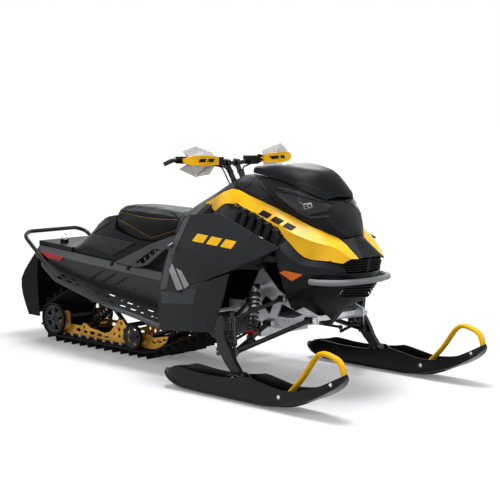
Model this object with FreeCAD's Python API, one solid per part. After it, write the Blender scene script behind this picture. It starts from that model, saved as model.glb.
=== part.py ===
import FreeCAD, Part
import math
import os

from FreeCAD import Vector

# Snowmobile, millimetres. X forward, Y to the rider's left, Z up, ground at Z = 0.
# The origin is under the middle of the overall box. Shapes are drawn for the left side
# and mirrored. Pieces are drawn about the drawing origin and moved by MIDDLE_X at the end.

# Driving dimensions
ski_stance = 1020.0
ski_width = 146.0
ski_rear_x = 225.0
ski_front_x = 1345.0
flap_rear_x = -1400.0
keel_depth = 10.0
ski_floor = 12.0
ski_wall = 8.0

belt_width = 381.0
belt_thickness = 7.0
lug_height = 32.0
lug_pitch = 70.0
lug_length = 108.0
lug_root = 15.0
lug_tip = 8.0

rear_wheel_radius = 89.0
rail_wheel_radius = 67.0
carrier_wheel_radius = 67.0
sprocket_radius = 85.0
nose_curve_radius = 200.0
wheel_width = 24.0
rail_thickness = 8.0
slide_thickness = 10.0
slide_width = 26.0
axle_radius = 12.0

belt_clearance = 21.5
tunnel_half = belt_width / 2 + belt_clearance
shoulder_width = 26.0
deck_half = tunnel_half - shoulder_width
tunnel_wrap = 157.0
tunnel_sheet = 3.0
panel_wall = 4.0
fit_gap = 0.3
pin_gap = 0.08

frame_tube = 14.0
arm_tube = 12.0
arm_barrel = 15.0
lower_barrel = 22.0
upper_barrel = 16.0
arm_pin = 6.0
bulkhead_half = 168.0
bulkhead_wall = 8.0
bulkhead_floor = 328.0
floor_thickness = 8.0
deck_rear = 540.0
deck_front = 462.0
bar_radius = 11.0
grip_radius = 17.0
bumper_tube = 12.0
bumper_bar = 14.0
bumper_height = 536.0
edge_rail_tube = 11.0
post_radius = 11.0
post_lean = 30.0

# Belt run: wheels in the order that the belt passes them
ground_belt_inner = lug_height + belt_thickness
rear_wheel = (-1121.0, ground_belt_inner + rear_wheel_radius)
carrier_wheel = (-800.0, 318.0)
sprocket = (120.0, 305.0)
nose_curve = (-350.0, ground_belt_inner + nose_curve_radius)
rail_wheel = (-445.0, ground_belt_inner + rail_wheel_radius)

# Steering and suspension points on the left side
clamp_point = Vector(133, 0, 1050)
lower_ball = Vector(615, 460, 200)
upper_ball = Vector(572, 430, 348)
kingpin_axis = upper_ball - lower_ball
kingpin_pin = 8.0
ski_bolt = Vector(690, ski_stance / 2, 98)
ski_bolt_radius = 6.0
saddle_half = 29.0
lower_pivot_y = bulkhead_half + 20
upper_pivot_y = bulkhead_half + 32
lower_pivots = (Vector(838, lower_pivot_y, 345), Vector(569, lower_pivot_y, 300))
upper_pivots = (Vector(668, upper_pivot_y, 430), Vector(458, upper_pivot_y, 398))
shock_top = Vector(540, bulkhead_half + 72, 480)
shock_bottom = Vector(628, 366, 262)
shock_eye = 14.0
tie_rod_outer = Vector(487, 440, 196)
tie_rod_inner = Vector(454, bulkhead_half - 40, 268)

# Steering housing between the bulkhead's plates: centre and inner size in the side view
housing_centre = (467.5, 264.0)
housing_long = 70.0
housing_high = 76.0
housing_wall = 3.0

MIDDLE_X = (ski_front_x + flap_rear_x) / 2

post_axis = Vector(-math.sin(math.radians(post_lean)), 0, math.cos(math.radians(post_lean)))
bearing_point = clamp_point - post_axis * 259
post_opening = 60.0


def mirrored(shape):
    """The same shape on the other side of the machine."""
    return shape.mirror(Vector(0, 0, 0), Vector(0, 1, 0))


def both(shape):
    """A shape and its mirror image as one compound."""
    return Part.makeCompound([shape, mirrored(shape)])


def fused(shapes):
    """One solid from shapes that run into each other."""
    return shapes[0].multiFuse(shapes[1:]).removeSplitter()


def profile(points, y_low, y_high):
    """A plate whose outline is given in the side view, between two Y planes."""
    corners = [Vector(x, y_low, z) for x, z in points]
    face = Part.Face(Part.makePolygon(corners + corners[:1]))
    return face.extrude(Vector(0, y_high - y_low, 0))


def plan(points, z_low, z_high):
    """A prism whose outline is given in the plan view."""
    corners = [Vector(x, y, z_low) for x, y in points]
    face = Part.Face(Part.makePolygon(corners + corners[:1]))
    return face.extrude(Vector(0, 0, z_high - z_low))


def bar(start, end, radius):
    """A round bar between two points."""
    axis = end - start
    return Part.makeCylinder(radius, axis.Length, start, axis)


def bent_path(points, bend):
    """Straight runs joined by tangent arcs of the given radius."""
    edges = []
    last = points[0]
    for before, corner, after in zip(points, points[1:], points[2:]):
        arriving = (corner - before).normalize()
        leaving = (after - corner).normalize()
        turn = arriving.getAngle(leaving)
        cut = bend * math.tan(turn / 2)
        cut = min(cut, 0.48 * (corner - before).Length, 0.48 * (after - corner).Length)
        start = corner - arriving * cut
        end = corner + leaving * cut
        inward = (leaving - arriving).normalize()
        reach = cut / math.tan(turn / 2)
        middle = corner + inward * (math.hypot(reach, cut) - reach)
        edges.append(Part.LineSegment(last, start).toShape())
        edges.append(Part.Arc(start, middle, end).toShape())
        last = end
    edges.append(Part.LineSegment(last, points[-1]).toShape())
    return Part.Wire(edges)


def tube(points, radius, bend=60.0):
    """A round tube along a bent path."""
    path = bent_path(points, bend)
    start = (points[1] - points[0]).normalize()
    ring = Part.Wire(Part.Circle(points[0], start, radius).toShape())
    return path.makePipeShell([ring], True, True)


def facets(corners):
    """Flat faces over a four-cornered patch: one where it is flat, else two triangles."""
    first, second, third, fourth = corners
    normal = (second - first).cross(third - first)
    flat = normal.Length > 1e-6 and abs(Vector(normal).normalize().dot(fourth - first)) < 1e-8
    loops = [corners] if flat else [[first, second, third], [first, third, fourth]]
    faces = []
    for loop in loops:
        kept = [corner for number, corner in enumerate(loop) if (corner - loop[number - 1]).Length > 1e-6]
        if len(kept) > 2:
            faces.append(Part.Face(Part.makePolygon(kept + kept[:1])))
    return faces


def sewn(faces):
    """A solid from faces that close a volume."""
    shell = Part.makeShell(faces)
    shell.sewShape()
    solid = Part.makeSolid(Part.Shell(shell.Faces))
    if solid.Volume < 0:
        solid.reverse()
    return solid


def skin(stations, wall, inside):
    """A panel through stations, each a row of outer points, with its wall on the inner side."""
    outer = stations
    inner = []
    count = len(stations)
    for number, row in enumerate(stations):
        behind = stations[max(number - 1, 0)]
        ahead = stations[min(number + 1, count - 1)]
        offset = []
        for place, corner in enumerate(row):
            along = ahead[place] - behind[place]
            across = row[min(place + 1, len(row) - 1)] - row[max(place - 1, 0)]
            normal = along.cross(across).normalize()
            if normal.dot(inside - corner) < 0:
                normal = -normal
            offset.append(corner + normal * wall)
        inner.append(offset)
    faces = []
    width = len(stations[0])
    for number in range(count - 1):
        for place in range(width - 1):
            for rows in (outer, inner):
                faces += facets([rows[number][place], rows[number + 1][place],
                                 rows[number + 1][place + 1], rows[number][place + 1]])
        for place in (0, width - 1):
            faces += facets([outer[number][place], outer[number + 1][place],
                             inner[number + 1][place], inner[number][place]])
    for number in (0, count - 1):
        for place in range(width - 1):
            faces += facets([outer[number][place], outer[number][place + 1],
                             inner[number][place + 1], inner[number][place]])
    return sewn(faces)


def flowing(points, steps):
    """Points along a smooth line through the given ones, with a number of steps to each span."""
    count = len(points)
    if count < 3:
        return points
    reach = [(after - before).Length ** 0.5 for before, after in zip(points, points[1:])]
    chords = [(points[number + 1] - points[number]) * (1 / reach[number]) for number in range(count - 1)]
    slopes = [chords[0]]
    for number in range(1, count - 1):
        before = reach[number - 1]
        after = reach[number]
        slopes.append((chords[number - 1] * after + chords[number] * before) * (1 / (before + after)))
    slopes.append(chords[-1])
    line = []
    for number in range(count - 1):
        start = points[number]
        end = points[number + 1]
        for step in range(steps):
            t = step / steps
            place = start * (2 * t ** 3 - 3 * t ** 2 + 1) + end * (3 * t ** 2 - 2 * t ** 3)
            place += slopes[number] * (reach[number] * (t ** 3 - 2 * t ** 2 + t))
            place += slopes[number + 1] * (reach[number] * (t ** 3 - t ** 2))
            line.append(place)
    line.append(points[-1])
    return line


def flow_along(stations, steps=3):
    """More stations between the given ones, so that each line along the panel runs smoothly."""
    lines = [flowing([row[place] for row in stations], steps) for place in range(len(stations[0]))]
    return [list(row) for row in zip(*lines)]


def flow_across(stations, steps=2):
    """More points in each station, so that the panel is crowned across too."""
    return [flowing(row, steps) for row in stations]


def closed_loft(rings):
    """A solid through closed rings of points, each in one plane across X, with flat ends."""
    faces = []
    count = len(rings[0])
    for ring, following in zip(rings, rings[1:]):
        for place in range(count):
            after = (place + 1) % count
            faces += facets([ring[place], following[place], following[after], ring[after]])
    for ring in (rings[0], rings[-1]):
        faces.append(Part.Face(Part.makePolygon(ring + ring[:1])))
    return sewn(faces)


def half_rings(stations, steps=3):
    """Closed rings from stations (x, half sections from the middle of the top out to the bottom edge)."""
    rows = []
    for x, half in stations:
        left = [Vector(x, y, z) for y, z in half]
        right = [Vector(x, -y, z) for y, z in half[1:]]
        rows.append(right[::-1] + left)
    return flow_along(rows, steps)


def full_rows(rows):
    """Stations given for the left half, from the middle outwards, made whole across the middle."""
    whole = []
    for row in rows:
        left = [Vector(*corner) for corner in row]
        right = [Vector(corner.x, -corner.y, corner.z) for corner in left[1:]]
        whole.append(right[::-1] + left)
    return whole


def side_rows(rows):
    """Stations given for the left side alone."""
    return [[Vector(*corner) for corner in row] for row in rows]


def biggest(shape):
    """The largest solid of a shape."""
    return max(shape.Solids, key=lambda solid: solid.Volume)


def belt_line(outset):
    """The closed belt line at a distance outside the wheels, in the plane Y = 0."""
    wheels = [
        (rear_wheel, rear_wheel_radius),
        (carrier_wheel, carrier_wheel_radius),
        (sprocket, sprocket_radius),
        (nose_curve, nose_curve_radius),
    ]
    spans = []
    for (centre, radius), (next_centre, next_radius) in zip(wheels, wheels[1:] + wheels[:1]):
        run = Vector(next_centre[0] - centre[0], 0, next_centre[1] - centre[1])
        along = Vector(run).normalize()
        left = Vector(-along.z, 0, along.x)
        slant = (radius - next_radius) / run.Length
        outward = along * slant + left * math.sqrt(1 - slant * slant)
        start = Vector(centre[0], 0, centre[1]) + outward * (radius + outset)
        end = Vector(next_centre[0], 0, next_centre[1]) + outward * (next_radius + outset)
        spans.append((start, end, outward))
    edges = []
    for number, (start, end, outward) in enumerate(spans):
        edges.append(Part.LineSegment(start, end).toShape())
        next_start, _, next_outward = spans[(number + 1) % len(spans)]
        (x, z), radius = wheels[(number + 1) % len(wheels)]
        middle = (outward + next_outward).normalize() * (radius + outset)
        edges.append(Part.Arc(end, Vector(x, 0, z) + middle, next_start).toShape())
    return Part.Wire(edges)


def lug(width):
    """One lug, pointing along -Z from its root at Z = 0, with a root that runs into the belt."""
    sink = 2.0
    rings = []
    for half, long, z in ((lug_root / 2, width, sink), (lug_tip / 2, width - 10, -lug_height)):
        corners = [Vector(-half, -long / 2, z), Vector(half, -long / 2, z)]
        corners += [Vector(half, long / 2, z), Vector(-half, long / 2, z)]
        rings.append(Part.makePolygon(corners + corners[:1]))
    return Part.makeLoft(rings, True, True)


def track():
    """Rubber belt with its rows of lugs, three to a row and staggered."""
    inner = belt_line(0)
    outer = belt_line(belt_thickness)
    half = belt_width / 2
    band = Part.Face(outer).extrude(Vector(0, belt_width, 0))
    band = band.cut(Part.Face(inner).extrude(Vector(0, belt_width, 0)))
    band.translate(Vector(0, -half, 0))
    rows = round(outer.Length / lug_pitch)
    step = outer.Length / rows
    stations = outer.discretize(Number=rows * 2 + 1)
    lugs = []
    side = half - lug_length / 2 - 6
    for number in range(rows * 2):
        place = stations[number]
        before = stations[number - 1] if number else stations[rows * 2 - 1]
        along = stations[(number + 1) % (rows * 2)] - before
        turn = math.degrees(math.atan2(along.z, along.x))
        centres = (0.0,) if number % 2 else (-side, side)
        for y in centres:
            piece = lug(lug_length)
            piece.rotate(Vector(0, 0, 0), Vector(0, 1, 0), 180 - turn)
            piece.translate(place + Vector(0, y, 0))
            lugs.append(piece)
    return fused([band] + lugs)


def spoked_wheel(radius, width, hub):
    """A wheel about the Y axis with a rim, a hub, five windows and a slot through each spoke."""
    rim = radius * 0.17
    web = width * 0.35
    outline = [
        (0, -width / 2), (hub, -width / 2), (hub + 3, -web / 2), (radius - rim, -web / 2),
        (radius - rim + 3, -width / 2), (radius - 2, -width / 2), (radius, -width / 2 + 3),
        (radius, width / 2 - 3), (radius - 2, width / 2), (radius - rim + 3, width / 2),
        (radius - rim, web / 2), (hub + 3, web / 2), (hub, width / 2), (0, width / 2),
    ]
    corners = [Vector(r, y, 0) for r, y in outline]
    body = Part.Face(Part.makePolygon(corners + corners[:1])).revolve(Vector(0, 0, 0), Vector(0, 1, 0), 360)
    windows = []
    low = hub + 7
    high = radius - rim - 4
    for number in range(5):
        shape = []
        for r, degrees in ((low, -12), (high, -21), (high, 21), (low, 12)):
            angle = math.radians(degrees + 72 * number)
            shape.append((r * math.cos(angle), r * math.sin(angle)))
        windows.append(profile(shape, -width, width))
        slot = []
        for r, degrees in ((low + 6, -3), (high - 4, -7), (high - 4, 7), (low + 6, 3)):
            angle = math.radians(degrees + 36 + 72 * number)
            slot.append((r * math.cos(angle), r * math.sin(angle)))
        windows.append(profile(slot, -width, width))
    return body.cut(Part.makeCompound(windows))


def wheel_at(centre, y, radius, hub=24.0):
    """A spoked wheel on the axle at a point of the side view."""
    wheel = spoked_wheel(radius, wheel_width, hub)
    wheel.translate(Vector(centre[0], y, centre[1]))
    return wheel


def axle(centre, half, radius=axle_radius):
    """A cross axle at a point of the side view."""
    return bar(Vector(centre[0], -half, centre[1]), Vector(centre[0], half, centre[1]), radius)


# Places across the skid, all from the belt's width
rail_inset = 60.5
rail_y = belt_width / 2 - rail_inset
carrier_wheel_y = rail_y + 20
arm_y = rail_y - 38
sleeve_half = rail_y - 5
sprocket_y = rail_y - 75

# Skid points in the side view: rail shafts, swing arm ends and the upper damper shafts
shaft_radius = 9.0
rear_shaft = (-1012.0, 82.0)
middle_shaft = (-470.0, 85.0)
front_shaft = (-370.0, 70.0)
front_mount = (-60.0, 235.0)
rear_foot = (-590.0, 140.0)
front_foot = (-420.0, 84.0)
rear_damper_top = (-745.0, 271.0)
front_damper_top = (-120.0, 210.0)

wheel_y = belt_width / 2 - wheel_width / 2 - 6


def rear_wheels():
    """Rear idler pair on its axle."""
    left = wheel_at(rear_wheel, wheel_y, rear_wheel_radius)
    return fused([axle(rear_wheel, wheel_y + 14), left, mirrored(left)])


def carrier_wheels():
    """Upper idler pair whose shaft is bolted to the tunnel walls."""
    left = wheel_at(carrier_wheel, carrier_wheel_y, carrier_wheel_radius)
    half = tunnel_half - tunnel_sheet - fit_gap
    return fused([axle(carrier_wheel, half), left, mirrored(left)])


def rail_wheels():
    """Idlers outside the rails, each on its own stub."""
    wheel = wheel_at(rail_wheel, wheel_y, rail_wheel_radius)
    inner = rail_y + rail_thickness / 2
    stub = bar(Vector(rail_wheel[0], inner, rail_wheel[1]), Vector(rail_wheel[0], wheel_y, rail_wheel[1]), 14)
    return both(fused([stub, wheel]))


def idler_wheels():
    """All wheels that the belt runs on, with their axles and stubs."""
    return Part.makeCompound([rear_wheels(), carrier_wheels()] + rail_wheels().Solids)


def rail_outline():
    """Side view of one rail: a flat foot, a curved nose and a bridged top edge."""
    foot = ground_belt_inner + slide_thickness
    nose = nose_curve_radius - slide_thickness
    x, z = nose_curve
    tip = math.radians(-42)
    low = (x, foot)
    mid = (x + nose * math.sin(-tip / 2), z - nose * math.cos(tip / 2))
    end = (x + nose * math.sin(-tip), z - nose * math.cos(tip))
    top = [
        (-206, 132), (-286, 118), (-326, 110), (-351, 121), (-442, 112), (-546, 150), (-572, 176), (-604, 176),
        (-680, 100), (-732, 85), (-788, 95), (-854, 101), (-893, 122), (-909, 122), (-931, 104),
        (-1037, 103), (-1040, 172), (-1064, 176), (-1100, 160), (-1146, 150), (-1146, 84), (-1120, foot),
    ]
    corners = [Vector(px, 0, pz) for px, pz in top]
    edges = [Part.Arc(Vector(low[0], 0, low[1]), Vector(mid[0], 0, mid[1]), Vector(end[0], 0, end[1])).toShape()]
    run = [Vector(end[0], 0, end[1])] + corners + [Vector(low[0], 0, low[1])]
    for start, stop in zip(run, run[1:]):
        edges.append(Part.LineSegment(start, stop).toShape())
    return Part.Face(Part.Wire(edges))


def long_hole(x, z, length, radius):
    """A cutter for a round-ended hole through the left rail, its long way along X."""
    pieces = [Part.makeBox(length, tunnel_half, 2 * radius, Vector(x - length / 2, 0, z - radius))]
    for end in (x - length / 2, x + length / 2):
        pieces.append(bar(Vector(end, 0, z), Vector(end, tunnel_half, z), radius))
    return fused(pieces)


def skid_rails():
    """Pierced aluminium rails with their cross shafts."""
    plate = rail_outline().extrude(Vector(0, rail_thickness, 0))
    plate.translate(Vector(0, rail_y - rail_thickness / 2, 0))
    holes = []
    for x, z, radius in (
        (-588, 156, 9), (-604, 122, 11), (-562, 122, 11), (-646, 92, 9), (-520, 94, 10), (-560, 84, 12),
        (-604, 84, 10), (-906, 100, 9),
    ):
        holes.append(bar(Vector(x, 0, z), Vector(x, tunnel_half, z), radius))
    for x, z, length, radius in (
        (-712, 66, 26, 6), (-772, 70, 26, 8), (-836, 74, 26, 9), (-896, 74, 20, 8), (-958, 78, 24, 9),
        (-420, 84, 20, 8), (-318, 88, 18, 7), (-276, 96, 16, 7), (-238, 108, 12, 6),
    ):
        holes.append(long_hole(x, z, length, radius))
    axle_hole = bar(Vector(rear_wheel[0], 0, rear_wheel[1]), Vector(rear_wheel[0], tunnel_half, rear_wheel[1]),
                    axle_radius + pin_gap)
    plate = plate.cut(Part.makeCompound(holes + [axle_hole]))
    shafts = [axle(point, rail_y, shaft_radius) for point in (rear_shaft, middle_shaft, front_shaft)]
    return fused([plate, mirrored(plate)] + shafts)


def rail_slides():
    """Plastic slides under the rails that the belt runs on."""
    x, z = nose_curve
    tip = math.radians(-40)
    lines = []
    for radius in (nose_curve_radius, nose_curve_radius - slide_thickness):
        low = Vector(x, 0, z - radius)
        mid = Vector(x + radius * math.sin(-tip / 2), 0, z - radius * math.cos(tip / 2))
        end = Vector(x + radius * math.sin(-tip), 0, z - radius * math.cos(tip))
        lines.append((low, mid, end))
    (low, mid, end), (low_in, mid_in, end_in) = lines
    tail = Vector(-1080, 0, low.z)
    tail_in = Vector(-1080, 0, low_in.z)
    edges = [
        Part.LineSegment(tail, low).toShape(), Part.Arc(low, mid, end).toShape(),
        Part.LineSegment(end, end_in).toShape(), Part.Arc(end_in, mid_in, low_in).toShape(),
        Part.LineSegment(low_in, tail_in).toShape(), Part.LineSegment(tail_in, tail).toShape(),
    ]
    strip = Part.Face(Part.Wire(edges)).extrude(Vector(0, slide_width, 0))
    strip.translate(Vector(0, rail_y - slide_width / 2, 0))
    return both(strip)


def skid_arms():
    """Front and rear swing arms between the tunnel shafts and the rails."""
    half = tunnel_half - tunnel_sheet - fit_gap
    rear_top = Vector(carrier_wheel[0], arm_y, carrier_wheel[1])
    rear_low = Vector(rear_foot[0], arm_y, rear_foot[1])
    front_top = Vector(front_mount[0], arm_y, front_mount[1])
    front_low = Vector(front_foot[0], arm_y, front_foot[1])
    rear = [axle(rear_foot, rail_y - rail_thickness / 2 - fit_gap, 13)]
    sleeve = axle(carrier_wheel, sleeve_half, 20).cut(axle(carrier_wheel, rail_y, axle_radius + pin_gap))
    leg = bar(rear_top, rear_low, 13).cut(axle(carrier_wheel, half, 18))
    rear += [leg, mirrored(leg), sleeve, axle(rear_damper_top, arm_y, shaft_radius)]
    front = [axle(front_mount, half, 13), axle(front_foot, rail_y - rail_thickness / 2 - fit_gap, 13)]
    leg = bar(front_top, front_low, 13)
    front += [leg, mirrored(leg), axle(front_damper_top, arm_y, shaft_radius)]
    return Part.makeCompound([fused(rear), fused(front)])


def coil_over(top, bottom, body, spring, turns):
    """A damper with its coil spring: body, rod, spring seats and a ribbed sleeve for the coils."""
    axis = bottom - top
    length = axis.Length
    start = length * 0.16
    end = length * 0.88
    step = (end - start) / turns
    wire = spring * 0.28
    outline = [(0, 0), (body, 0), (body, start - 8), (spring, start - 8), (spring, start)]
    for number in range(turns):
        outline.append((spring - wire, start + step * (number + 0.15)))
        outline.append((spring - 1, start + step * (number + 0.5)))
        outline.append((spring - wire, start + step * (number + 0.85)))
    outline += [(spring, end), (spring, end + 8), (body * 0.5, end + 8), (body * 0.5, length), (0, length)]
    corners = [Vector(r, 0, z) for r, z in outline]
    piece = Part.Face(Part.makePolygon(corners + corners[:1])).revolve(Vector(0, 0, 0), Vector(0, 0, 1), 360)
    turn = FreeCAD.Rotation(Vector(0, 0, 1), axis)
    piece.Placement = FreeCAD.Placement(top, turn)
    return piece


def eye(centre, half, radius):
    """A cross eye of a damper."""
    return bar(centre - Vector(0, half, 0), centre + Vector(0, half, 0), radius)


def skid_shocks():
    """Centre and rear dampers of the skid, with their eyes on the shafts of arms and rails."""
    dampers = []
    for top, low, body, spring in ((rear_damper_top, rear_shaft, 20, 30), (front_damper_top, front_shaft, 18, 27)):
        top_point = Vector(top[0], 0, top[1])
        low_point = Vector(low[0], 0, low[1])
        along = (low_point - top_point).normalize()
        damper = coil_over(top_point + along * 6, low_point - along * 6, body, spring, 6)
        damper = fused([damper, eye(top_point, body - 4, 15), eye(low_point, body - 5, 15)])
        holes = [axle(point, 60, shaft_radius + pin_gap) for point in (top, low)]
        dampers.append(damper.cut(Part.makeCompound(holes)))
    return Part.makeCompound(dampers)


def drive_axle():
    """Cross shaft with two toothed sprockets that pull the belt."""
    half = tunnel_half - tunnel_sheet - fit_gap
    teeth = 9
    outline = []
    for number in range(teeth * 2):
        radius = sprocket_radius - 2 if number % 2 else sprocket_radius - 14
        for offset in (-5, 5):
            angle = math.radians(number * 180.0 / teeth + offset)
            outline.append((sprocket[0] + radius * math.cos(angle), sprocket[1] + radius * math.sin(angle)))
    left = profile(outline, sprocket_y, sprocket_y + 30)
    return fused([axle(sprocket, half, 14), left, mirrored(left)])


def deck_height(x):
    """Height of the tunnel's top, which falls evenly towards the front."""
    rear_x = -1235.0
    front_x = 23.0
    return deck_rear + (deck_front - deck_rear) * (x - rear_x) / (front_x - rear_x)


def tunnel_row(x, bottom):
    """Half of one tunnel section: deck, chamfered shoulder and wall."""
    top = min(deck_height(x), deck_rear)
    top = max(top, deck_front)
    return [(x, 0, top), (x, deck_half, top), (x, tunnel_half, top - 36), (x, tunnel_half, bottom)]


def tunnel():
    """Folded sheet tunnel over the track, with its front wall wrapped round the track."""
    rows = [
        tunnel_row(-1235, 470), tunnel_row(-1121, 455), tunnel_row(-941, 400), tunnel_row(-472, 325),
        tunnel_row(23, 262), tunnel_row(120, 250),
    ]
    shell = skin(full_rows(rows), tunnel_sheet, Vector(-500, 0, 200))
    reach = tunnel_wrap
    x, z = sprocket
    edges = []
    for radius in (reach, reach - tunnel_sheet):
        top = Vector(x, 0, z + radius)
        mid = Vector(x + radius * math.cos(math.radians(20)), 0, z + radius * math.sin(math.radians(20)))
        low = Vector(x + radius * math.cos(math.radians(-50)), 0, z + radius * math.sin(math.radians(-50)))
        edges.append((top, mid, low))
    (top, mid, low), (top_in, mid_in, low_in) = edges
    wire = Part.Wire([
        Part.Arc(top, mid, low).toShape(), Part.LineSegment(low, low_in).toShape(),
        Part.Arc(low_in, mid_in, top_in).toShape(), Part.LineSegment(top_in, top).toShape(),
    ])
    inner_half = tunnel_half - tunnel_sheet
    wall = Part.Face(wire).extrude(Vector(0, 2 * inner_half, 0))
    wall.translate(Vector(0, -inner_half, 0))
    cheek_wire = Part.Wire([
        Part.Arc(top, mid, low).toShape(), Part.LineSegment(low, Vector(x, 0, 250)).toShape(),
        Part.LineSegment(Vector(x, 0, 250), top).toShape(),
    ])
    cheek = Part.Face(cheek_wire).extrude(Vector(0, tunnel_sheet, 0))
    cheek.translate(Vector(0, inner_half, 0))
    side = [cheek]
    for bracket in (
        [(-868, 392), (-828, 292), (-772, 292), (-716, 368)],
        [(-112, 284), (-86, 212), (-34, 212), (-2, 270)],
    ):
        side.append(profile(bracket, inner_half, tunnel_half))
    return fused([shell, wall] + side + [mirrored(shape) for shape in side])


# Outer rail of the foot board, from the tunnel's tail out to the lower panel
panel_rear_half = 392.0
edge_rail = [
    Vector(-1121, tunnel_half + 38, 442), Vector(-941, tunnel_half + 88, 379),
    Vector(-472, tunnel_half + 146, 303), Vector(50, panel_rear_half - 10, 236),
]


def running_boards():
    """Foot boards with a rounded outer rail."""
    rows = []
    for corner in edge_rail:
        inner = Vector(corner.x, tunnel_half, corner.z + 24)
        rows.append([inner, Vector(corner.x, corner.y, corner.z)])
    board = skin(rows, tunnel_sheet, Vector(-500, 300, 0))
    slots = []
    for number in range(12):
        x = -960 + 82 * number
        reach = edge_rail[1 if x < edge_rail[2].x else 2].y - tunnel_half
        for share in (0.28, 0.62):
            slots.append(Part.makeBox(46, 15, 400, Vector(x, tunnel_half + reach * share, 150)))
    board = board.cut(Part.makeCompound(slots))
    rail = tube([Vector(-1150, tunnel_half + 14, 452)] + edge_rail, edge_rail_tube, 200)
    return both(fused([board, rail]))


def rear_bumper():
    """Rear grab bar round the tail, down to the tunnel walls."""
    half = tunnel_half + bumper_tube
    corner = [Vector(-1102, half, 428), Vector(-1322, half, 588), Vector(-1352, tunnel_half - 42, 608)]
    right = [Vector(corner_point.x, -corner_point.y, corner_point.z) for corner_point in corner]
    return tube(corner + right[::-1], bumper_tube, 70)


def snow_flap():
    """Moulded flap behind the track, wrapped forwards at its sides."""
    rows = []
    half = tunnel_half - tunnel_sheet - fit_gap
    for rear, wing, z in ((-1262, -1216, 500), (-1330, -1228, 430), (flap_rear_x, -1232, 336), (-1388, -1226, 240),
                          (-1335, -1217, 135)):
        flat = half - 28
        rows.append([Vector(wing, -half, z), Vector(rear + 18, -half, z), Vector(rear, -flat, z),
                     Vector(rear, flat, z), Vector(rear + 18, half, z), Vector(wing, half, z)])
    return skin(flow_along(rows, 2), 6.0, Vector(-1000, 0, 300))


def tail_lamps():
    """Side lamps in the rear end of the tunnel shoulders."""
    lens = profile([(-1187, 511), (-974, 494), (-1006, 470), (-1122, 478)], tunnel_half + fit_gap, tunnel_half + 7)
    return both(lens)


def cargo_deck():
    """Moulded deck over the tail with two lashing posts, each with a bore for a strap pin."""
    rear = -1240
    front = -946
    outline = [(rear, deck_rear + fit_gap), (-1235, deck_rear + fit_gap), (front, deck_height(front) + fit_gap),
               (front, 548), (-1030, 556), (rear, 566)]
    deck = profile(outline, 2 - deck_half, deck_half - 2)
    post_y = deck_half - 66
    for side in (-post_y, post_y):
        deck = deck.fuse(Part.makeCylinder(24, 30, Vector(-1090, side, 550)))
        deck = deck.cut(Part.makeCylinder(9, 60, Vector(-1090, side, 545)))
    return deck.removeSplitter()


seat_base_line = [(-668, 726), (-634, 664), (-430, 622), (-253, 622), (-108, 684)]


def seat_base(x):
    """Height of the seat's underside."""
    for (rear, low), (front, high) in zip(seat_base_line, seat_base_line[1:]):
        if x <= front:
            return low + (high - low) * (x - rear) / (front - rear)
    return seat_base_line[-1][1]


def seat():
    """Seat cushion: a crowned closed form, narrow at its tail."""
    stations = []
    for x, top, half in (
        (-668, 776, 92), (-634, 795, 118), (-540, 802, 134), (-430, 803, 144), (-253, 797, 148), (-128, 784, 142),
        (-108, 768, 126),
    ):
        base = seat_base(x)
        stations.append((x, [(0, top), (half * 0.62, top - 3), (half * 0.94, top - 20), (half, (top + base) / 2),
                             (half * 0.94, base)]))
    return closed_loft(half_rings(stations, 1))


def tail_cover():
    """Moulded cover behind and under the seat, with a hollow for the cushion."""
    stations = []
    for x, top, crown, shoulder, inset in (
        (-944, 560, 120, 552, 14), (-900, 600, 110, 574, 14), (-845, 656, 100, 606, 14), (-764, 724, 88, 640, 14),
        (-690, 742, 84, 652, 14), (-600, 742, 84, 646, 14), (-430, 690, 100, 604, 26), (-250, 680, 100, 600, 50),
        (-64, 706, 96, 640, 56),
    ):
        low = deck_half - inset
        deck = deck_height(x) + fit_gap
        stations.append((x, [(0, top), (crown, top - 6), (low * 0.84, shoulder), (low, (shoulder + deck) / 2),
                             (low, deck)]))
    body = closed_loft(half_rings(stations))
    room = [(-668 - fit_gap, 900), (-668 - fit_gap, 726), (-634 - fit_gap, 664 - fit_gap)]
    room += [(x, z - fit_gap) for x, z in seat_base_line[2:]] + [(-40, 684 - fit_gap), (-40, 900)]
    return biggest(body.cut(profile(room, -200, 200)))


def console():
    """Cover from the seat up to the bars, with an opening for the steering post."""
    rows = [
        [(-118, 0, 792), (-118, 78, 788), (-110, 140, 750), (-80, 200, 690)],
        [(-22, 0, 846), (-22, 80, 839), (-15, 160, 800), (10, 228, 735)],
        [(98, 0, 903), (98, 80, 897), (104, 156, 850), (120, 262, 792)],
        [(207, 0, 958), (207, 80, 954), (207, 150, 884), (225, 176, 800)],
        [(300, 0, 1002), (300, 80, 997), (298, 150, 924), (300, 180, 820)],
    ]
    shell = skin(flow_along(full_rows(rows)), panel_wall, Vector(100, 0, 400))
    opening = bar(bearing_point, clamp_point, post_opening)
    return shell.cut(opening)


def hood_rows():
    """Stations of the dark centre of the hood, from the dash to the nose."""
    return [
        [(306, 0, 1004), (306, 80, 999), (306, 140, 968), (304, 156, 932)],
        [(440, 0, 1012), (440, 120, 1008), (445, 168, 962), (440, 170, 903)],
        [(580, 0, 1008), (580, 160, 992), (585, 190, 935), (580, 178, 868)],
        [(740, 0, 962), (740, 164, 958), (760, 186, 888), (740, 170, 818)],
        [(835, 0, 908), (830, 118, 908), (850, 150, 848), (834, 158, 778)],
        [(890, 0, 850), (885, 76, 850), (905, 112, 790), (924, 88, 732)],
        [(972, 0, 742), (970, 34, 738), (955, 60, 734), (930, 84, 730)],
    ]


def hood():
    """Dark faceted centre of the hood."""
    return skin(flow_along(full_rows(hood_rows())), panel_wall, Vector(500, 0, 500))


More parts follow.
